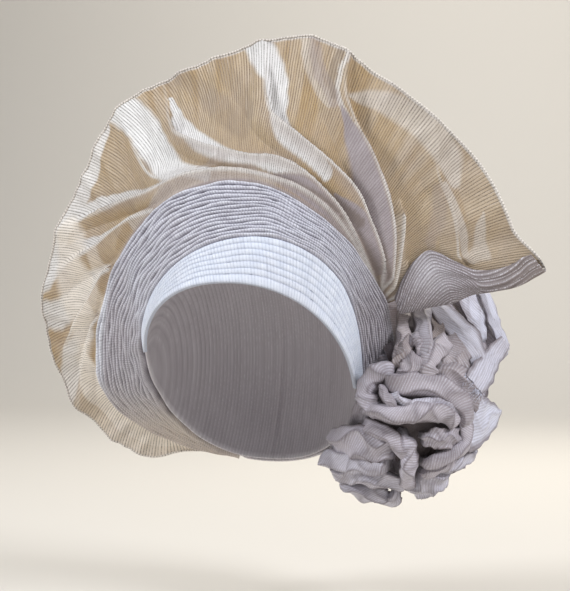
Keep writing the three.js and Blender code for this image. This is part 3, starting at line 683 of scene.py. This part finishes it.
# The fan's tan thread colour is partly painted light: it stands in for warm light shining through the sheer
# cloth from behind
fan_cloth = cloth_material("fan_cloth", (0.45, 0.305, 0.145), (0.05, 0.028, 0.012), WHITE, LAVENDER, CREAM,
                           (0.17, 0.125, 0.095), sheer=0.06, line_depth=1.25, line_share=0.55, glint=0.2)
band_cloth = cloth_material("band_cloth", COOL, (0.30, 0.33, 0.44), (0.80, 0.84, 0.93), SILVER, COOL,
                            (0.20, 0.20, 0.27), stripe=0.0023, line_depth=0.55)
pleat_cloth = cloth_material("pleat_cloth", (0.52, 0.51, 0.59), (0.17, 0.15, 0.19), (0.84, 0.86, 0.93),
                             LAVENDER, (0.66, 0.57, 0.48), (0.075, 0.06, 0.075), stripe=0.0023,
                             line_depth=0.75)
rosette_cloth = cloth_material("rosette_cloth", (0.535, 0.50, 0.565), (0.15, 0.12, 0.14), (0.79, 0.82, 0.96),
                               (0.36, 0.31, 0.34), (0.42, 0.32, 0.24), (0.085, 0.062, 0.065), stripe=0.0019,
                               line_depth=0.5, glint=0.8)
# The border's dark thread colour is partly painted shade
border_cloth = cloth_material("border_cloth", (0.25, 0.22, 0.235), (0.07, 0.052, 0.052), (0.80, 0.79, 0.86),
                              (0.33, 0.29, 0.30), (0.27, 0.21, 0.17), (0.10, 0.08, 0.075), stripe=0.0021,
                              line_depth=1.1, glint=0.9)
plain_cloth = cloth_material("plain_cloth", (0.56, 0.53, 0.57), (0.20, 0.18, 0.20), (0.84, 0.83, 0.86),
                             (0.42, 0.38, 0.41), CREAM, (0.12, 0.10, 0.11), line_depth=0.35)

# The way that cloth faces where it gets a painted highlight, and the same for the front folds of the rosette
LIGHT_WAY = unit(np.array([-0.62, -0.62, 0.48]))
ROSETTE_LIGHT = unit(np.array([0.45, -0.60, 0.65]))


# A painted highlight where the cloth faces the given way
def painted_highlight_tone(normals, low, high, way=LIGHT_WAY):
    return smooth((normals @ way - low) / (high - low))


# Brow band and pleats

def wound_piece(start_at, end_at, angles, edges, profile, thick, seed, stripe_turn, uneven=1.0):
    """Layers of folded cloth wound between two section lines, closed at the back.

    edges are the shares of the run at which each layer starts and ends, one row for each angle. profile holds
    the points of a layer's section: a share of its width, a height in metres, its painted highlight and its
    painted shade.
    """
    start, end = start_at(angles), end_at(angles)
    length = run_length(start, end)
    grid, cloth, tones = [], [], {"white_and_painted_highlight": [], "painted_shade": []}
    travel = 0 * angles
    for k in range(edges.shape[1] - 1):
        low, high = edges[:, k], edges[:, k + 1]
        tall = 1 + 0.4 * uneven * wobble(angles / 14, seed + 31 * k)
        ragged = 0.08 * uneven * wobble(angles / 4.5, seed + 53 * k + 7)
        parted = 0.34 * uneven * smooth(wobble(angles / 9, seed + 17 * k + 3) - 0.7)
        shadow = mix(1, np.clip(0.55 + 0.5 * wobble(angles / 11, seed + 71 * k), 0.15, 1), uneven)
        for share, height, lit, painted_shade in profile:
            along = mix(low, high, share + (ragged - parted) * smooth(share * 2 - 0.8)) * length
            grid.append(on_run(start, end, along, height * (tall if height > 0 else 1)))
            if len(grid) > 1:
                travel = travel + norm(grid[-1] - grid[-2])
            cloth.append(travel)
            tones["white_and_painted_highlight"].append(lit * (1 + 0.35 * wobble(angles / 6, seed + 11 * k)))
            tones["painted_shade"].append(painted_shade * shadow)
    for share in (1.0, 0.66, 0.33, 0.0):
        grid.append(on_run(start, end, share * length, -thick))
        cloth.append(travel)
        tones["white_and_painted_highlight"].append(0 * angles)
        tones["painted_shade"].append(0 * angles)
    points = place(angles, np.array(grid))
    cloth = np.array(cloth)
    flat = pair(np.radians(angles) * stripe_turn + 0.2 * cloth, cloth)
    rows, columns = cloth.shape
    ring = np.arange(rows) * columns
    faces = [*grid_faces(rows, columns, flip=True, closed=True), ring, ring[::-1] + columns - 1]
    return points, faces, flat, {tone: np.clip(values, 0, 1) for tone, values in tones.items()}


def layer_edges(angles, layers, first, spread, seed):
    """Shares of the run where layers meet, varying smoothly round the head."""
    widths = [first + 0 * angles]
    for k in range(1, layers):
        widths.append(np.maximum(0.35, 1 + spread * wobble(angles / 22 + k * 3.1, seed + k)))
    total = np.cumsum(np.array([0 * angles, *widths]), axis=0)
    return (total / total[-1]).T


def brow_band():
    angles = np.linspace(BAND_START, BAND_END, 320)
    edges = layer_edges(angles, BAND_TUCKS, 1.45, 0.12, 11)
    # Sections of the tucks: painted highlights on the raised parts and painted shade where they turn under
    profile = ((0.0, -0.0005, 0.3, 0.32), (0.09, 0.0003, 0.6, 0), (0.30, 0.0006, 0.7, 0),
               (0.60, 0.0008, 0.7, 0), (0.90, 0.0006, 0.6, 0), (1.0, -0.0004, 0.3, 0.32))

    def foot(angle):
        return pair(rim(angle) + BAND_FOOT_OUT, 0)

    def top(angle):
        return mix(foot(angle), band_top(angle), smooth(0.15 + (angle - BAND_START) / 12)[:, None])

    points, faces, flat, tones = wound_piece(foot, top, angles, edges, profile, BAND_THICK, 5, 0.1, 0.15)
    piece = make_piece("brow_band_cloth", points, faces, flat, tones, band_cloth,
                       ("brow_band",))


def pleat_stack():
    angles = np.linspace(STACK_START, STACK_END, 420)
    edges = layer_edges(angles, PLEATS, 1.0, 0.30, 23)
    # Sections of the pleats: painted highlights on the tops and painted shade in the gaps between them
    profile = ((-0.12, -0.0030, 0, 1.0), (0.02, -0.0014, 0, 0.85), (0.15, 0.0006, 0.1, 0.3),
               (0.34, 0.0019, 0.45, 0), (0.58, 0.0024, 0.6, 0), (0.80, 0.0019, 0.3, 0.05),
               (0.95, 0.0006, 0, 0.4), (1.01, -0.0010, 0, 0.85), (0.90, -0.0028, 0, 1.0))
    points, faces, flat, tones = wound_piece(band_top, stack_top, angles, edges, profile, STACK_THICK, 17,
                                             0.13)
    # Both ends of the stack are tinted a darker lavender; at the right end this is painted shade
    layers = 0.45 * smooth((-50 - angles) / 30) + 0.55 * smooth((angles - 40) / 30)
    tones["layers"] = layers + 0 * tones["white_and_painted_highlight"]
    tones["warm"] = 0.9 * smooth((-96 - angles) / 40)
    outer = slice((PLEATS - 2) * len(profile), PLEATS * len(profile))
    # A painted highlight along the outer pleats on the left
    painted_edge_highlight = smooth((angles + 118) / 20) * smooth((-52 - angles) / 25) * (tones["painted_shade"][outer] < 0.5)
    tones["white_and_painted_highlight"][outer] = np.maximum(tones["white_and_painted_highlight"][outer], painted_edge_highlight)
    tones["layers"][outer] *= 1 - painted_edge_highlight
    tones["painted_shade"] = tones["painted_shade"] * (1 - 0.6 * tones["warm"])
    piece = make_piece("pleat_stack_cloth", points, faces, flat, tones, pleat_cloth,
                       ("pleat_stack",))


# Fan

def crest_distance(crest, spots):
    """Distance from a crest, positive on its steep side, and the unit way across it."""
    best = np.full(spots.shape[:-1], np.inf)
    side = np.ones_like(best)
    way = np.zeros_like(spots)
    for a, b in zip(crest[:-1], crest[1:]):
        along = b - a
        share = np.clip(((spots - a) @ along) / (along @ along), 0, 1)
        offset = spots - a - share[..., None] * along
        gap = norm(offset)
        nearer = gap < best
        best = np.where(nearer, gap, best)
        side = np.where(nearer, np.sign(offset[..., 0] * along[1] - offset[..., 1] * along[0]), side)
        way = np.where(nearer[..., None], unit(np.array([along[1], -along[0]])), way)
    return best * side, way


def unrolled(angle, share):
    return pair(np.radians(angle) * FAN_GIRTH, share * FAN_REACH)


def fan_path(knots, count):
    """A curve on the unrolled fan through knots of angle and percent of the reach."""
    angle, share = np.array(knots, float).T
    return curve_through(unrolled(angle, share / PERCENT), count)


def tint(path, widths, spots, strength):
    """How strongly a band round a path tints the spots. Weak bands have softer edges."""
    inside = np.zeros(spots.shape[:-1])
    for middle, half in zip(fan_path(path, 40), np.maximum(widths_through(widths, 40), 0.001)):
        inside = np.maximum(inside, 1 - norm(spots - middle) / (1.15 * half))
    return strength * smooth(inside * (1.2 + 1.5 * strength))


def fan_relief(angle, share):
    """Height of the folds, how far they hang over, where the cloth lies in layers, where a painted highlight
    runs along each crest and where painted shade lies in the gap beside it.
    """
    spots = unrolled(angle, share)
    over = np.zeros_like(spots)
    height, layers, crest_highlight, gap_shade = (np.zeros_like(share) for _ in range(4))
    for percents, (outer, overhang), crest in FAN_FOLDS:
        rise, inner, body = (value / PERCENT for value in percents)
        outer = outer / MILLI
        gap, way = crest_distance(fan_path(crest, 36), spots)
        x = np.where(gap > 0, gap / outer, -gap / (inner * FAN_REACH))
        tent = 1 - np.sqrt(x * x + 0.004)
        ramp = np.clip(np.where(gap > 0, tent, mix(1 - np.abs(x) ** 1.7, tent, smooth(share * 1.5))), 0, 1)
        rim_keep = mix(0.22, 0.6, smooth((angle + 30) / 60))
        lift = rise * FAN_REACH * ramp * smooth(share / 0.1) * mix(1, rim_keep, smooth(share * 2.2 - 1.1))
        higher = lift > height
        height = np.where(higher, lift, height)
        lean = overhang / MILLI * ramp**2 * smooth(share / 0.1) * (1 - smooth(share * 1.4 - 0.4))
        over = np.where(higher[..., None], way * lean[..., None], over)
        spread = np.where(gap > 0, smooth(1 - x), smooth(1.2 - x * 1.7))
        layers = np.maximum(layers, body * spread * (1 - smooth((share - 0.15) / 0.75)))
        fade = 1 - 0.7 * smooth(share * 1.6 - 0.5)
        crest_highlight = np.maximum(crest_highlight, fade * np.exp(-((gap + 0.0011) / CREST_WIDTH) ** 2))
        gap_shade = np.maximum(gap_shade, fade * (gap > 0.0006) * smooth(1.1 - gap / (0.0015 + 1.1 * outer)))
    return height, over, layers, crest_highlight, gap_shade * (1 - crest_highlight)


def fan():
    share, angle = sheet_grid(124, 600, FAN_START, FAN_END)
    height, over, layers, crest_highlight, gap_shade = fan_relief(angle, share)
    ripple = wobble(angle / 9, 71) * RIPPLE_HEIGHT * smooth(share * 1.3 - 0.2)
    ripple = ripple + wobble(angle / 3.4, 72) * FLUTTER_HEIGHT * smooth(share * 1.6 - 0.3)
    moved_angle = angle + np.degrees(over[..., 0] / FAN_GIRTH)
    moved_share = share + over[..., 1] / FAN_REACH * (1 - share)
    moved_share = moved_share * mix(0.08, 1, smooth((angle - FAN_START) / FAN_TAPER))
    points = fan_point(moved_angle, np.clip(moved_share, 0, 1), height + ripple)
    points = crumpled(points, 0.0007, 0.016, 91, smooth(share / 0.2))
    end = fan_edge(angle)
    run = run_length(stack_top(angle), end)
    lean = STRIPE_LEAN * smooth((14 - angle) / 55) * (1 - share) * run
    cloth = pair(travelled(place(angle[-1], end[-1])) - lean, share * run)
    edge = smooth((share - RIM_BORDER) / 0.015)
    spots = unrolled(angle + wobble(share * 9, 3) * 0.3, share)
    # Painted highlight where the cloth faces the light, a lighter tone towards the right, and painted shade
    # along the seam with the stack
    lit = painted_highlight_tone(-grid_normals(points), 0.5, 0.9)
    tones = {"white_and_painted_highlight": 0.12 * lit + 0.12 * smooth((angle - 24) / 20), "warm": 0,
             "layers": np.maximum(0.5 * layers, smooth(1.3 - share / 0.03)),
             "painted_shade": 0.6 * smooth(1.2 - share / 0.02)}
    for tone, strength, widths, path in FAN_TINTS:
        tones[tone] = np.maximum(tones[tone], tint(path, widths, spots, strength / PERCENT))
    # Painted highlights along the crests and a whiter band at the rim; painted shade in the gaps beside the
    # crests
    white_and_painted_highlight = tones["white_and_painted_highlight"] * (1 - 0.8 * tones["layers"])
    tones["white_and_painted_highlight"] = np.maximum(white_and_painted_highlight, np.maximum(0.8 * edge, 0.85 * crest_highlight))
    # A cream tint on the left of the fan, partly painted light that lifts its shaded side; none on the rim
    # band
    tones["warm"] = np.maximum(tones["warm"], 0.8 * smooth((-100 - angle) / 30)) * (1 - edge)
    tones["layers"] = tones["layers"] * (1 - 0.85 * crest_highlight)
    tones["painted_shade"] = np.maximum(tones["painted_shade"], 0.85 * gap_shade) * (1 - tones["white_and_painted_highlight"])
    faces = grid_faces(*share.shape, flip=True)
    piece = make_piece("fan_cloth", points, faces, cloth, tones, fan_cloth, ("fan",))
    selvedge = fan_selvedge(points[-1])


def fan_selvedge(edge):
    """A thin corded edge with a small scallop for each stripe."""
    count, ring = 1400, 6
    line = curve_through(edge[::4], count)
    along = unit(np.gradient(line, axis=0))
    outward = unit(np.cross(along, np.cross(line, along)))
    side = np.cross(along, outward)
    travel = travelled(line)
    scallop = np.abs(np.sin(travel / STRIPE * math.pi))
    radius = 0.00055 + 0.00045 * scallop
    turn = np.linspace(0, 2 * math.pi, ring, endpoint=False)[:, None]
    points = (line + outward * (np.sin(turn) * radius + 0.0003 * scallop)[..., None]
              + side * (np.cos(turn) * radius)[..., None])
    cloth = pair(travel, np.zeros((ring, count)))
    return make_piece("fan_selvedge", points, grid_faces(ring, count, closed=True), cloth,
                      {"white_and_painted_highlight": 0.8, "warm": 0.5}, fan_cloth)


def fan_border():
    knots = np.array(BORDER_LINE, float)
    knots[:, 0] /= PERCENT
    columns = 210
    down, share = sheet_grid(46, columns, knots[0, 0], 1.0)
    line = curve_through(knots, 8 * columns)
    top, low = (np.interp(share[0], line[:, 0], line[:, k]) for k in (1, 2))
    angle = mix(top, low, down)
    puff = BORDER_PUFF * np.sin(math.pi * np.clip(down * 0.94 + 0.03, 0, 1)) ** 0.6 * mix(1.0, 0.35, share)
    crease = BORDER_CREASE * wobble(down * 3 + share * 1.5, 5) * np.sin(math.pi * down)
    tuck = BORDER_TUCK * smooth((down - 0.88) / 0.12) * mix(1, 0.4, share)
    points = crumpled(fan_point(angle, share, BORDER_SEAT + puff + crease - tuck), 0.0006, 0.012, 15)
    run = run_length(stack_top(angle), fan_edge(angle))
    width = np.radians(low - top) * (rim(angle) + BORDER_GIRTH + share * run)
    cloth = pair(down * width + share * run * 0.12, share * run)
    # A painted highlight on the puff, and painted shade under the tuck and along the seam with the stack
    painted_puff_highlight = smooth(1 - np.hypot((share - 0.36) / 0.2, (down - 0.3) / 0.5))
    tones = {"white_and_painted_highlight": 0.45 * painted_puff_highlight, "layers": 0.2, "warm": 0.5 * smooth(share * 2 - 0.9),
             "painted_shade": 0.6 * smooth((down - 0.86) / 0.14) + 0.5 * smooth(1 - share / 0.12)}
    piece = make_shell("fan_border_cloth", points, cloth, tones, SHELL_THICK, border_cloth,
                       ("fan_border",), flip=True)


# Rosette

RIGHT = np.array([math.cos(ROSETTE_TURN), math.sin(ROSETTE_TURN), 0])
FORWARD = np.array([math.sin(ROSETTE_TURN), -math.cos(ROSETTE_TURN), 0])
UP = np.array([0.0, 0.0, 1.0])


def dome_depth(right, up):
    height = 1 - np.hypot(right, up) ** DOME_ROUNDNESS
    return ROSETTE_HALF_DEPTH * np.where(height > 0, height, height / (1 - 4 * np.minimum(height, 0)))


def in_rosette(right, up, ahead):
    return (ROSETTE_MIDDLE + np.multiply.outer(right * ROSETTE_HALF_WIDTH, RIGHT)
            + np.multiply.outer(up * ROSETTE_HALF_HEIGHT, UP) + np.multiply.outer(ahead, FORWARD))


def from_middle(points, side=1):
    offset = points - ROSETTE_MIDDLE
    right = offset @ RIGHT / ROSETTE_HALF_WIDTH
    up = offset @ UP / ROSETTE_HALF_HEIGHT
    return unit(0.75 * right[:, None] * RIGHT + 0.75 * up[:, None] * UP + side * FORWARD)


def ribbon(path, widths, arch, curl, seed, outward, tuck=RIBBON_TUCK, rough=1.0):
    """A gathered fold of cloth along a path: an arc whose edges turn under, creased along its length.

    Returns its points, its flat cloth coordinates and the painted shade of each point in a crease or under an
    edge.
    """
    rng = np.random.default_rng(seed)
    line = curve_through(path, RIBBON_COLUMNS)
    share = np.linspace(0, 1, RIBBON_COLUMNS)
    from_end = np.minimum(share, 1 - share)
    width = widths_through(widths, RIBBON_COLUMNS) * (1 + 0.11 * wobble(share * 5, seed + 5))
    ends = smooth(from_end / 0.16)
    line = line - outward(line) * (tuck * (1 - smooth(from_end / 0.11)))[:, None]
    along = unit(np.gradient(line, axis=0))
    normal = outward(line)
    normal = unit(normal - (normal * along).sum(1, keepdims=True) * along)
    side = np.cross(along, normal)
    level = np.linspace(-1, 1, RIBBON_ROWS)[:, None]
    turn = np.radians(level * curl)
    reach = math.sin(min(math.radians(curl), math.pi / 2))
    across = np.sin(turn) / reach * (width / 2 * mix(0.7, 1, ends))
    rise = (np.cos(turn) - 0.35) * (arch * mix(0.45, 1, ends))
    lean = 0.45 * arch * rng.choice((-1, 1)) * (1 - level**2)
    points = line + side * (across + lean)[..., None] + normal * rise[..., None]
    pleats = rng.uniform(1.8, 2.6)
    drift = rng.uniform(0, 1) + 0.35 * wobble(share * 2.2, seed + 3)
    crease = np.abs(np.sin(math.pi * (pleats * level / 2 + drift))) ** 0.75
    size = np.clip(0.22 * width, 0.0012, 0.0042) * mix(1.25, 0.85, ends)
    fold = np.abs(crumple(points, 0.016, seed + 1)) ** 0.7
    inward = (1 - crease) * size + RIBBON_CREASE * (0.5 - fold) + 0.0003 * crumple(points, 0.004, seed + 2)
    points = clear_of_head(points + grid_normals(points) * (rough * inward * (1 - 0.8 * level**4))[..., None])
    # Painted shade where the edges turn under and in the creases
    painted_shade = 0.85 * smooth((np.abs(level) - 0.55) / 0.40) + 0.6 * rough * smooth(1 - 1.7 * crease)
    painted_shade = np.maximum(painted_shade, 0.4 * rough * smooth(1 - 1.6 * fold))
    flat = pair(travelled(line), level * np.radians(curl) * max(arch, 0.004) * 1.6 + across * 0.6)
    return points, flat, np.clip(painted_shade, 0, 1)


def turned(cloth, degrees):
    c, s = math.cos(math.radians(degrees)), math.sin(math.radians(degrees))
    return pair(cloth[..., 0] * s + cloth[..., 1] * c, cloth[..., 0] * c - cloth[..., 1] * s)


# Folds given more painted highlight
SHINE = {"side_panel": 0.9, "side_loop": 0.9, "pointed_lobe": 0.85, "upper_panel": 0.6, "hood_lip": 0.45,
         "torn_end": 0.6, "corner_lobe": 0.4, "knot_loop": 0.3, "bottom_lobe": 0.25, "left_lobe": 0.3,
         "bottom_arc": 0.35, "under_lobe": 0.3}


def rosette_fold(index, name, widths, arch, curl, lay, warm, path):
    right, up, forward = np.array(path, float).T / PERCENT
    spots = in_rosette(right, up, dome_depth(right, up) + forward * ROSETTE_HALF_DEPTH)
    rough = FLAT_FOLDS.get(name, 1.0)
    widths = np.array(widths, float) * (FOLD_WIDEN if rough == 1 else 1)
    points, flat, painted_shade = ribbon(spots, widths, arch / PERCENT * ROSETTE_HALF_WIDTH, curl, 100 + 7 * index,
                                from_middle, 0.0 if name in FREE_ENDS else RIBBON_TUCK, rough)
    # Painted highlight where the fold faces the light and on the folds listed in SHINE, and painted shade
    # from the creases
    lit = painted_highlight_tone(-grid_normals(points), 0.45, 0.95, ROSETTE_LIGHT) * (1 - painted_shade)
    shine = SHINE.get(name, 0.0)
    tones = {"white_and_painted_highlight": np.clip(mix(0.75 * lit, 1, shine * (1 - painted_shade)), 0, 1), "layers": 0.15,
             "warm": 0.8 * warm / PERCENT * (1 - shine), "painted_shade": painted_shade * (1 - 0.5 * shine)}
    nodes = (name,) if name in CAD_NODES else ()
    cloth = turned(flat, lay)
    if name in FREE_ENDS:
        piece = make_shell(f"rosette_{name}", points, cloth, tones, END_THICK, rosette_cloth,
                           nodes, flip=True)
    else:
        piece = make_piece(f"rosette_{name}", points, grid_faces(*painted_shade.shape, flip=True), cloth, tones,
                           rosette_cloth, nodes)
    threads = (fringe(points[:, 0], points[:, 4]),) if name == "torn_end" else ()


def fringe(edge, inner):
    """Loose threads at the torn end."""
    rng = np.random.default_rng(41)
    steps, ring = 7, 4
    share = np.linspace(0, 1, steps)
    around = np.linspace(0, 2 * math.pi, ring, endpoint=False)[:, None]
    radius = THREAD_RADIUS * np.linspace(1, 0.5, steps)
    points, faces = [], []
    for k in range(THREADS):
        spot = int(rng.integers(0, len(edge)))
        way = unit(edge[spot] - inner[spot]) + rng.normal(size=3) * 0.35
        reach = rng.uniform(0.002, 0.0065)
        line = edge[spot] + np.linspace(-0.2, 1, steps)[:, None] * way * reach
        line = line + share[:, None] ** 2 * rng.normal(size=3) * 0.0016
        side = unit(np.cross(way, UP))
        up = unit(np.cross(way, side))
        tube = line + side * (np.cos(around) * radius)[..., None] + up * (np.sin(around) * radius)[..., None]
        faces.append(grid_faces(ring, steps, start=k * ring * steps, closed=True))
        points.append(tube.reshape(-1, 3))
    points = np.concatenate(points)
    return make_piece("rosette_fringe", points, np.concatenate(faces), points[:, :2], {"white_and_painted_highlight": 0.8},
                      rosette_cloth)


def rosette_heart():
    """The bunched cloth behind the folds, with painted shade all over it so that the gaps between the folds
    look dark.
    """
    share, turn = sheet_grid(70, 140, -math.pi, math.pi)
    rise = mix(-math.pi / 2, math.pi / 2, share)
    right = np.cos(rise) * np.cos(turn)
    up = np.cos(rise) * np.sin(turn)
    ridges = 1 - np.abs(np.sin(3.5 * turn + 2.2 * rise)) ** 0.7
    swell = 0.64 + 0.05 * ridges * np.cos(rise)
    points = in_rosette(right * swell, up * swell, np.sin(rise) * ROSETTE_HALF_DEPTH * 0.80)
    points = points + grid_normals(points) * (-0.0016 * np.abs(crumple(points, 0.012, 8)))[..., None]
    make_piece("rosette_heart", clear_of_head(points), grid_faces(*share.shape), pair(turn, rise) * 0.05,
               {"layers": 0.9, "warm": 0.35, "painted_shade": 0.55}, rosette_cloth, ("rosette_core",))


def plain_folds(label, count, shares, depths, widths, side):
    """Folds that finish the back and the rim of the rosette, each from one depth to another."""
    for index in range(count):
        around = index / count * 2 * math.pi + 0.4
        knots = []
        for i, (share, depth) in enumerate(zip(shares, depths)):
            bend = around + 0.14 * i
            drawn_in = 1 - 0.2 * float(smooth(-2 * math.cos(bend) - 0.6)) * (side == 0)
            right = share / PERCENT * drawn_in * math.cos(bend)
            up = share / PERCENT * drawn_in * math.sin(bend)
            back = -abs(float(dome_depth(right, up))) - 0.001
            ahead = back if depth is None else depth / PERCENT * ROSETTE_HALF_DEPTH
            knots.append(in_rosette(right, up, ahead))
        seed = 900 + 5 * index + 40 * side
        points, flat, painted_shade = ribbon(np.array(knots), widths, PLAIN_ARCH, PLAIN_CURL, seed,
                                    lambda line: from_middle(line, side))
        # Painted highlight where the fold faces the light and painted shade in its creases
        tones = {"white_and_painted_highlight": 0.5 * painted_highlight_tone(-grid_normals(points), 0.4, 0.95), "layers": 0.2, "warm": 0.1,
                 "painted_shade": 0.7 * painted_shade}
        node = f"back_ruffle_{index + 1}"
        piece = make_piece(f"rosette_{label}_{index + 1}", points, grid_faces(*painted_shade.shape, flip=True),
                           turned(flat, PLAIN_LAY), tones, rosette_cloth,
                           (node,) if side and node in CAD_NODES else ())


# Crown, wrap and nape

def crown_cap():
    share, angle = sheet_grid(36, 180, -180, 180)
    lift = CAP_LIFT / 2 * (1 + rim(angle) * np.cos(np.radians(angle)) / HEAD_HALF_LENGTH)
    up = lift + (HEAD_DEPTH + CLOTH - lift) * np.sin(share * math.pi / 2)
    points = place(angle, on_head(angle, np.minimum(up, HEAD_DEPTH + CLOTH * 0.999), CLOTH))
    cloth = points[..., :2]
    points = crumpled(points, -0.0005, 0.02, 3)
    points[-1] = points[-1].mean(axis=0)
    tones = {"white_and_painted_highlight": 0.2, "layers": 0.3}
    piece = make_shell("crown_cap_cloth", points, cloth, tones, -CAP_THICK, plain_cloth,
                       ("crown_cap",))


def crown_wrap():
    share, angle = sheet_grid(30, 400, STACK_START, STACK_END - 6)
    climb = WRAP_CLIMB * np.minimum(1, 2.1 * section("stack_flare", angle))
    climb = climb * mix(0.35, 1, smooth((angle - STACK_START) / 22))
    inner = on_head(angle, HEAD_DEPTH * climb, CLOTH + SHELL_THICK)
    low, high = band_top(angle), stack_top(angle)
    outer = on_run(low, high, run_length(low, high) * WRAP_SEAT, -WRAP_INSET)
    dip = -WRAP_DIP * share * (1 - share) ** 2
    gathers = np.sin(np.radians(angle) * 46 + 2 * wobble(angle / 20, 4)) * np.sin(math.pi * share) ** 0.5
    lift = dip + WRAP_GATHER * gathers + 0.001
    points = place(angle, on_run(outer, inner, share * run_length(outer, inner), lift))
    cloth = pair(np.radians(angle) * 0.14, share * 0.06)
    piece = make_shell("crown_wrap_cloth", points, cloth, {"white_and_painted_highlight": 0.25, "layers": 0.2}, SHELL_THICK,
                       plain_cloth, ("crown_wrap",))


def nape_band():
    share, angle = sheet_grid(60, 130, NAPE_START, NAPE_END)
    middle = (NAPE_START + NAPE_END) / 2
    width = NAPE_WIDTH * mix(0.5, 1, np.cos(np.radians(angle - middle)) ** 2)
    fold = (share * NAPE_TUCKS) % 1
    height = 0.0034 + 0.0022 * fold**0.7 - 0.0035 * smooth((share - 0.9) / 0.1)
    height = height - 0.002 * smooth(1 - share / 0.04)
    height = height * mix(1, 0.15, smooth((angle - NAPE_END + 6) / 5))
    ragged = 1 + 0.05 * wobble(angle / 12 + share * 2, 9)
    points = place(angle, on_head(angle, width * share * ragged, CLOTH) + pair(height, 0))
    cloth = pair(np.radians(angle) * 0.09, width * share)
    # A painted highlight across each tuck, strongest at its folded edge
    tones = {"white_and_painted_highlight": 0.3 * smooth(fold), "layers": 0.3, "warm": 0.1}
    piece = make_shell("nape_band_cloth", points, cloth, tones, -SHELL_THICK, plain_cloth,
                       ("nape_band",))


# Stage, light and camera

def stage():
    low = cad_box[0][2] - FLOOR_DROP
    profile = [(-FLOOR_SIZE, low), (FLOOR_DEPTH, low)]
    profile += [(FLOOR_DEPTH + FLOOR_BEND * math.sin(t), low + FLOOR_BEND * (1 - math.cos(t)))
                for t in np.linspace(0, math.pi / 2, BEND_STEPS)[1:]]
    profile.append((FLOOR_DEPTH + FLOOR_BEND, low + FLOOR_SIZE))
    mesh = bpy.data.meshes.new("floor")
    points = [(x, y, z) for x in (-FLOOR_SIZE, FLOOR_SIZE) for y, z in profile]
    count = len(profile)
    mesh.from_pydata(points, [], [(i, i + count, i + count + 1, i + 1) for i in range(count - 1)])
    mesh.polygons.foreach_set("use_smooth", np.ones(len(mesh.polygons), bool))
    n = Nodes("floor")
    n.feed(n.shader, {"Base Color": (0.70, 0.67, 0.62), "Roughness": 0.9})
    mesh.materials.append(n.material)
    floor = show("floor", mesh)


def area_light(name, spot, size, power, colour, aim=CAMERA_TARGET):
    data = bpy.data.lights.new(name, "AREA")
    data.shape = "DISK"
    data.size = size
    data.energy = power
    data.color = colour
    light = show(name, data)
    light.location = spot
    light.rotation_euler = (Vector(aim) - Vector(spot)).to_track_quat("-Z", "Y").to_euler()


def lights():
    area_light("key_left", (-1.3, -0.8, 1.1), 0.5, 24, (0.95, 0.97, 1.0))
    area_light("key_right", (1.3, -0.75, 1.0), 0.5, 22, (0.95, 0.965, 1.0))
    area_light("rim_back", (0.3, 1.3, 1.0), 0.9, 10, (1.0, 0.94, 0.84))
    area_light("backdrop", (0, 1.3, 2.4), 1.5, 42, (1.0, 0.97, 0.92), (0, 3.4, 0.9))
    world = bpy.data.worlds.new("world")
    world.use_nodes = True
    background = world.node_tree.nodes["Background"]
    background.inputs[0].default_value = (0.90, 0.90, 0.92, 1)
    background.inputs[1].default_value = 0.28
    bpy.context.scene.world = world
    bpy.context.scene.view_settings.view_transform = "Standard"


def camera():
    data = bpy.data.cameras.new("camera")
    data.lens = CAMERA_LENS
    data.sensor_width = SENSOR
    view = show("camera", data)
    back = Vector((math.sin(CAMERA_AZIMUTH), -math.cos(CAMERA_AZIMUTH), 0))
    view.location = CAMERA_TARGET + back * CAMERA_DISTANCE
    view.rotation_euler = (-back).to_track_quat("-Z", "Y").to_euler()
    bpy.context.scene.camera = view


camera()
stage()
lights()
brow_band()
pleat_stack()
fan()
fan_border()
rosette_heart()
for index, row in enumerate(ROSETTE_FOLDS):
    rosette_fold(index, *row)
plain_folds(*BACK_FOLDS)
plain_folds(*RIM_FOLDS)
crown_cap()
crown_wrap()
nape_band()
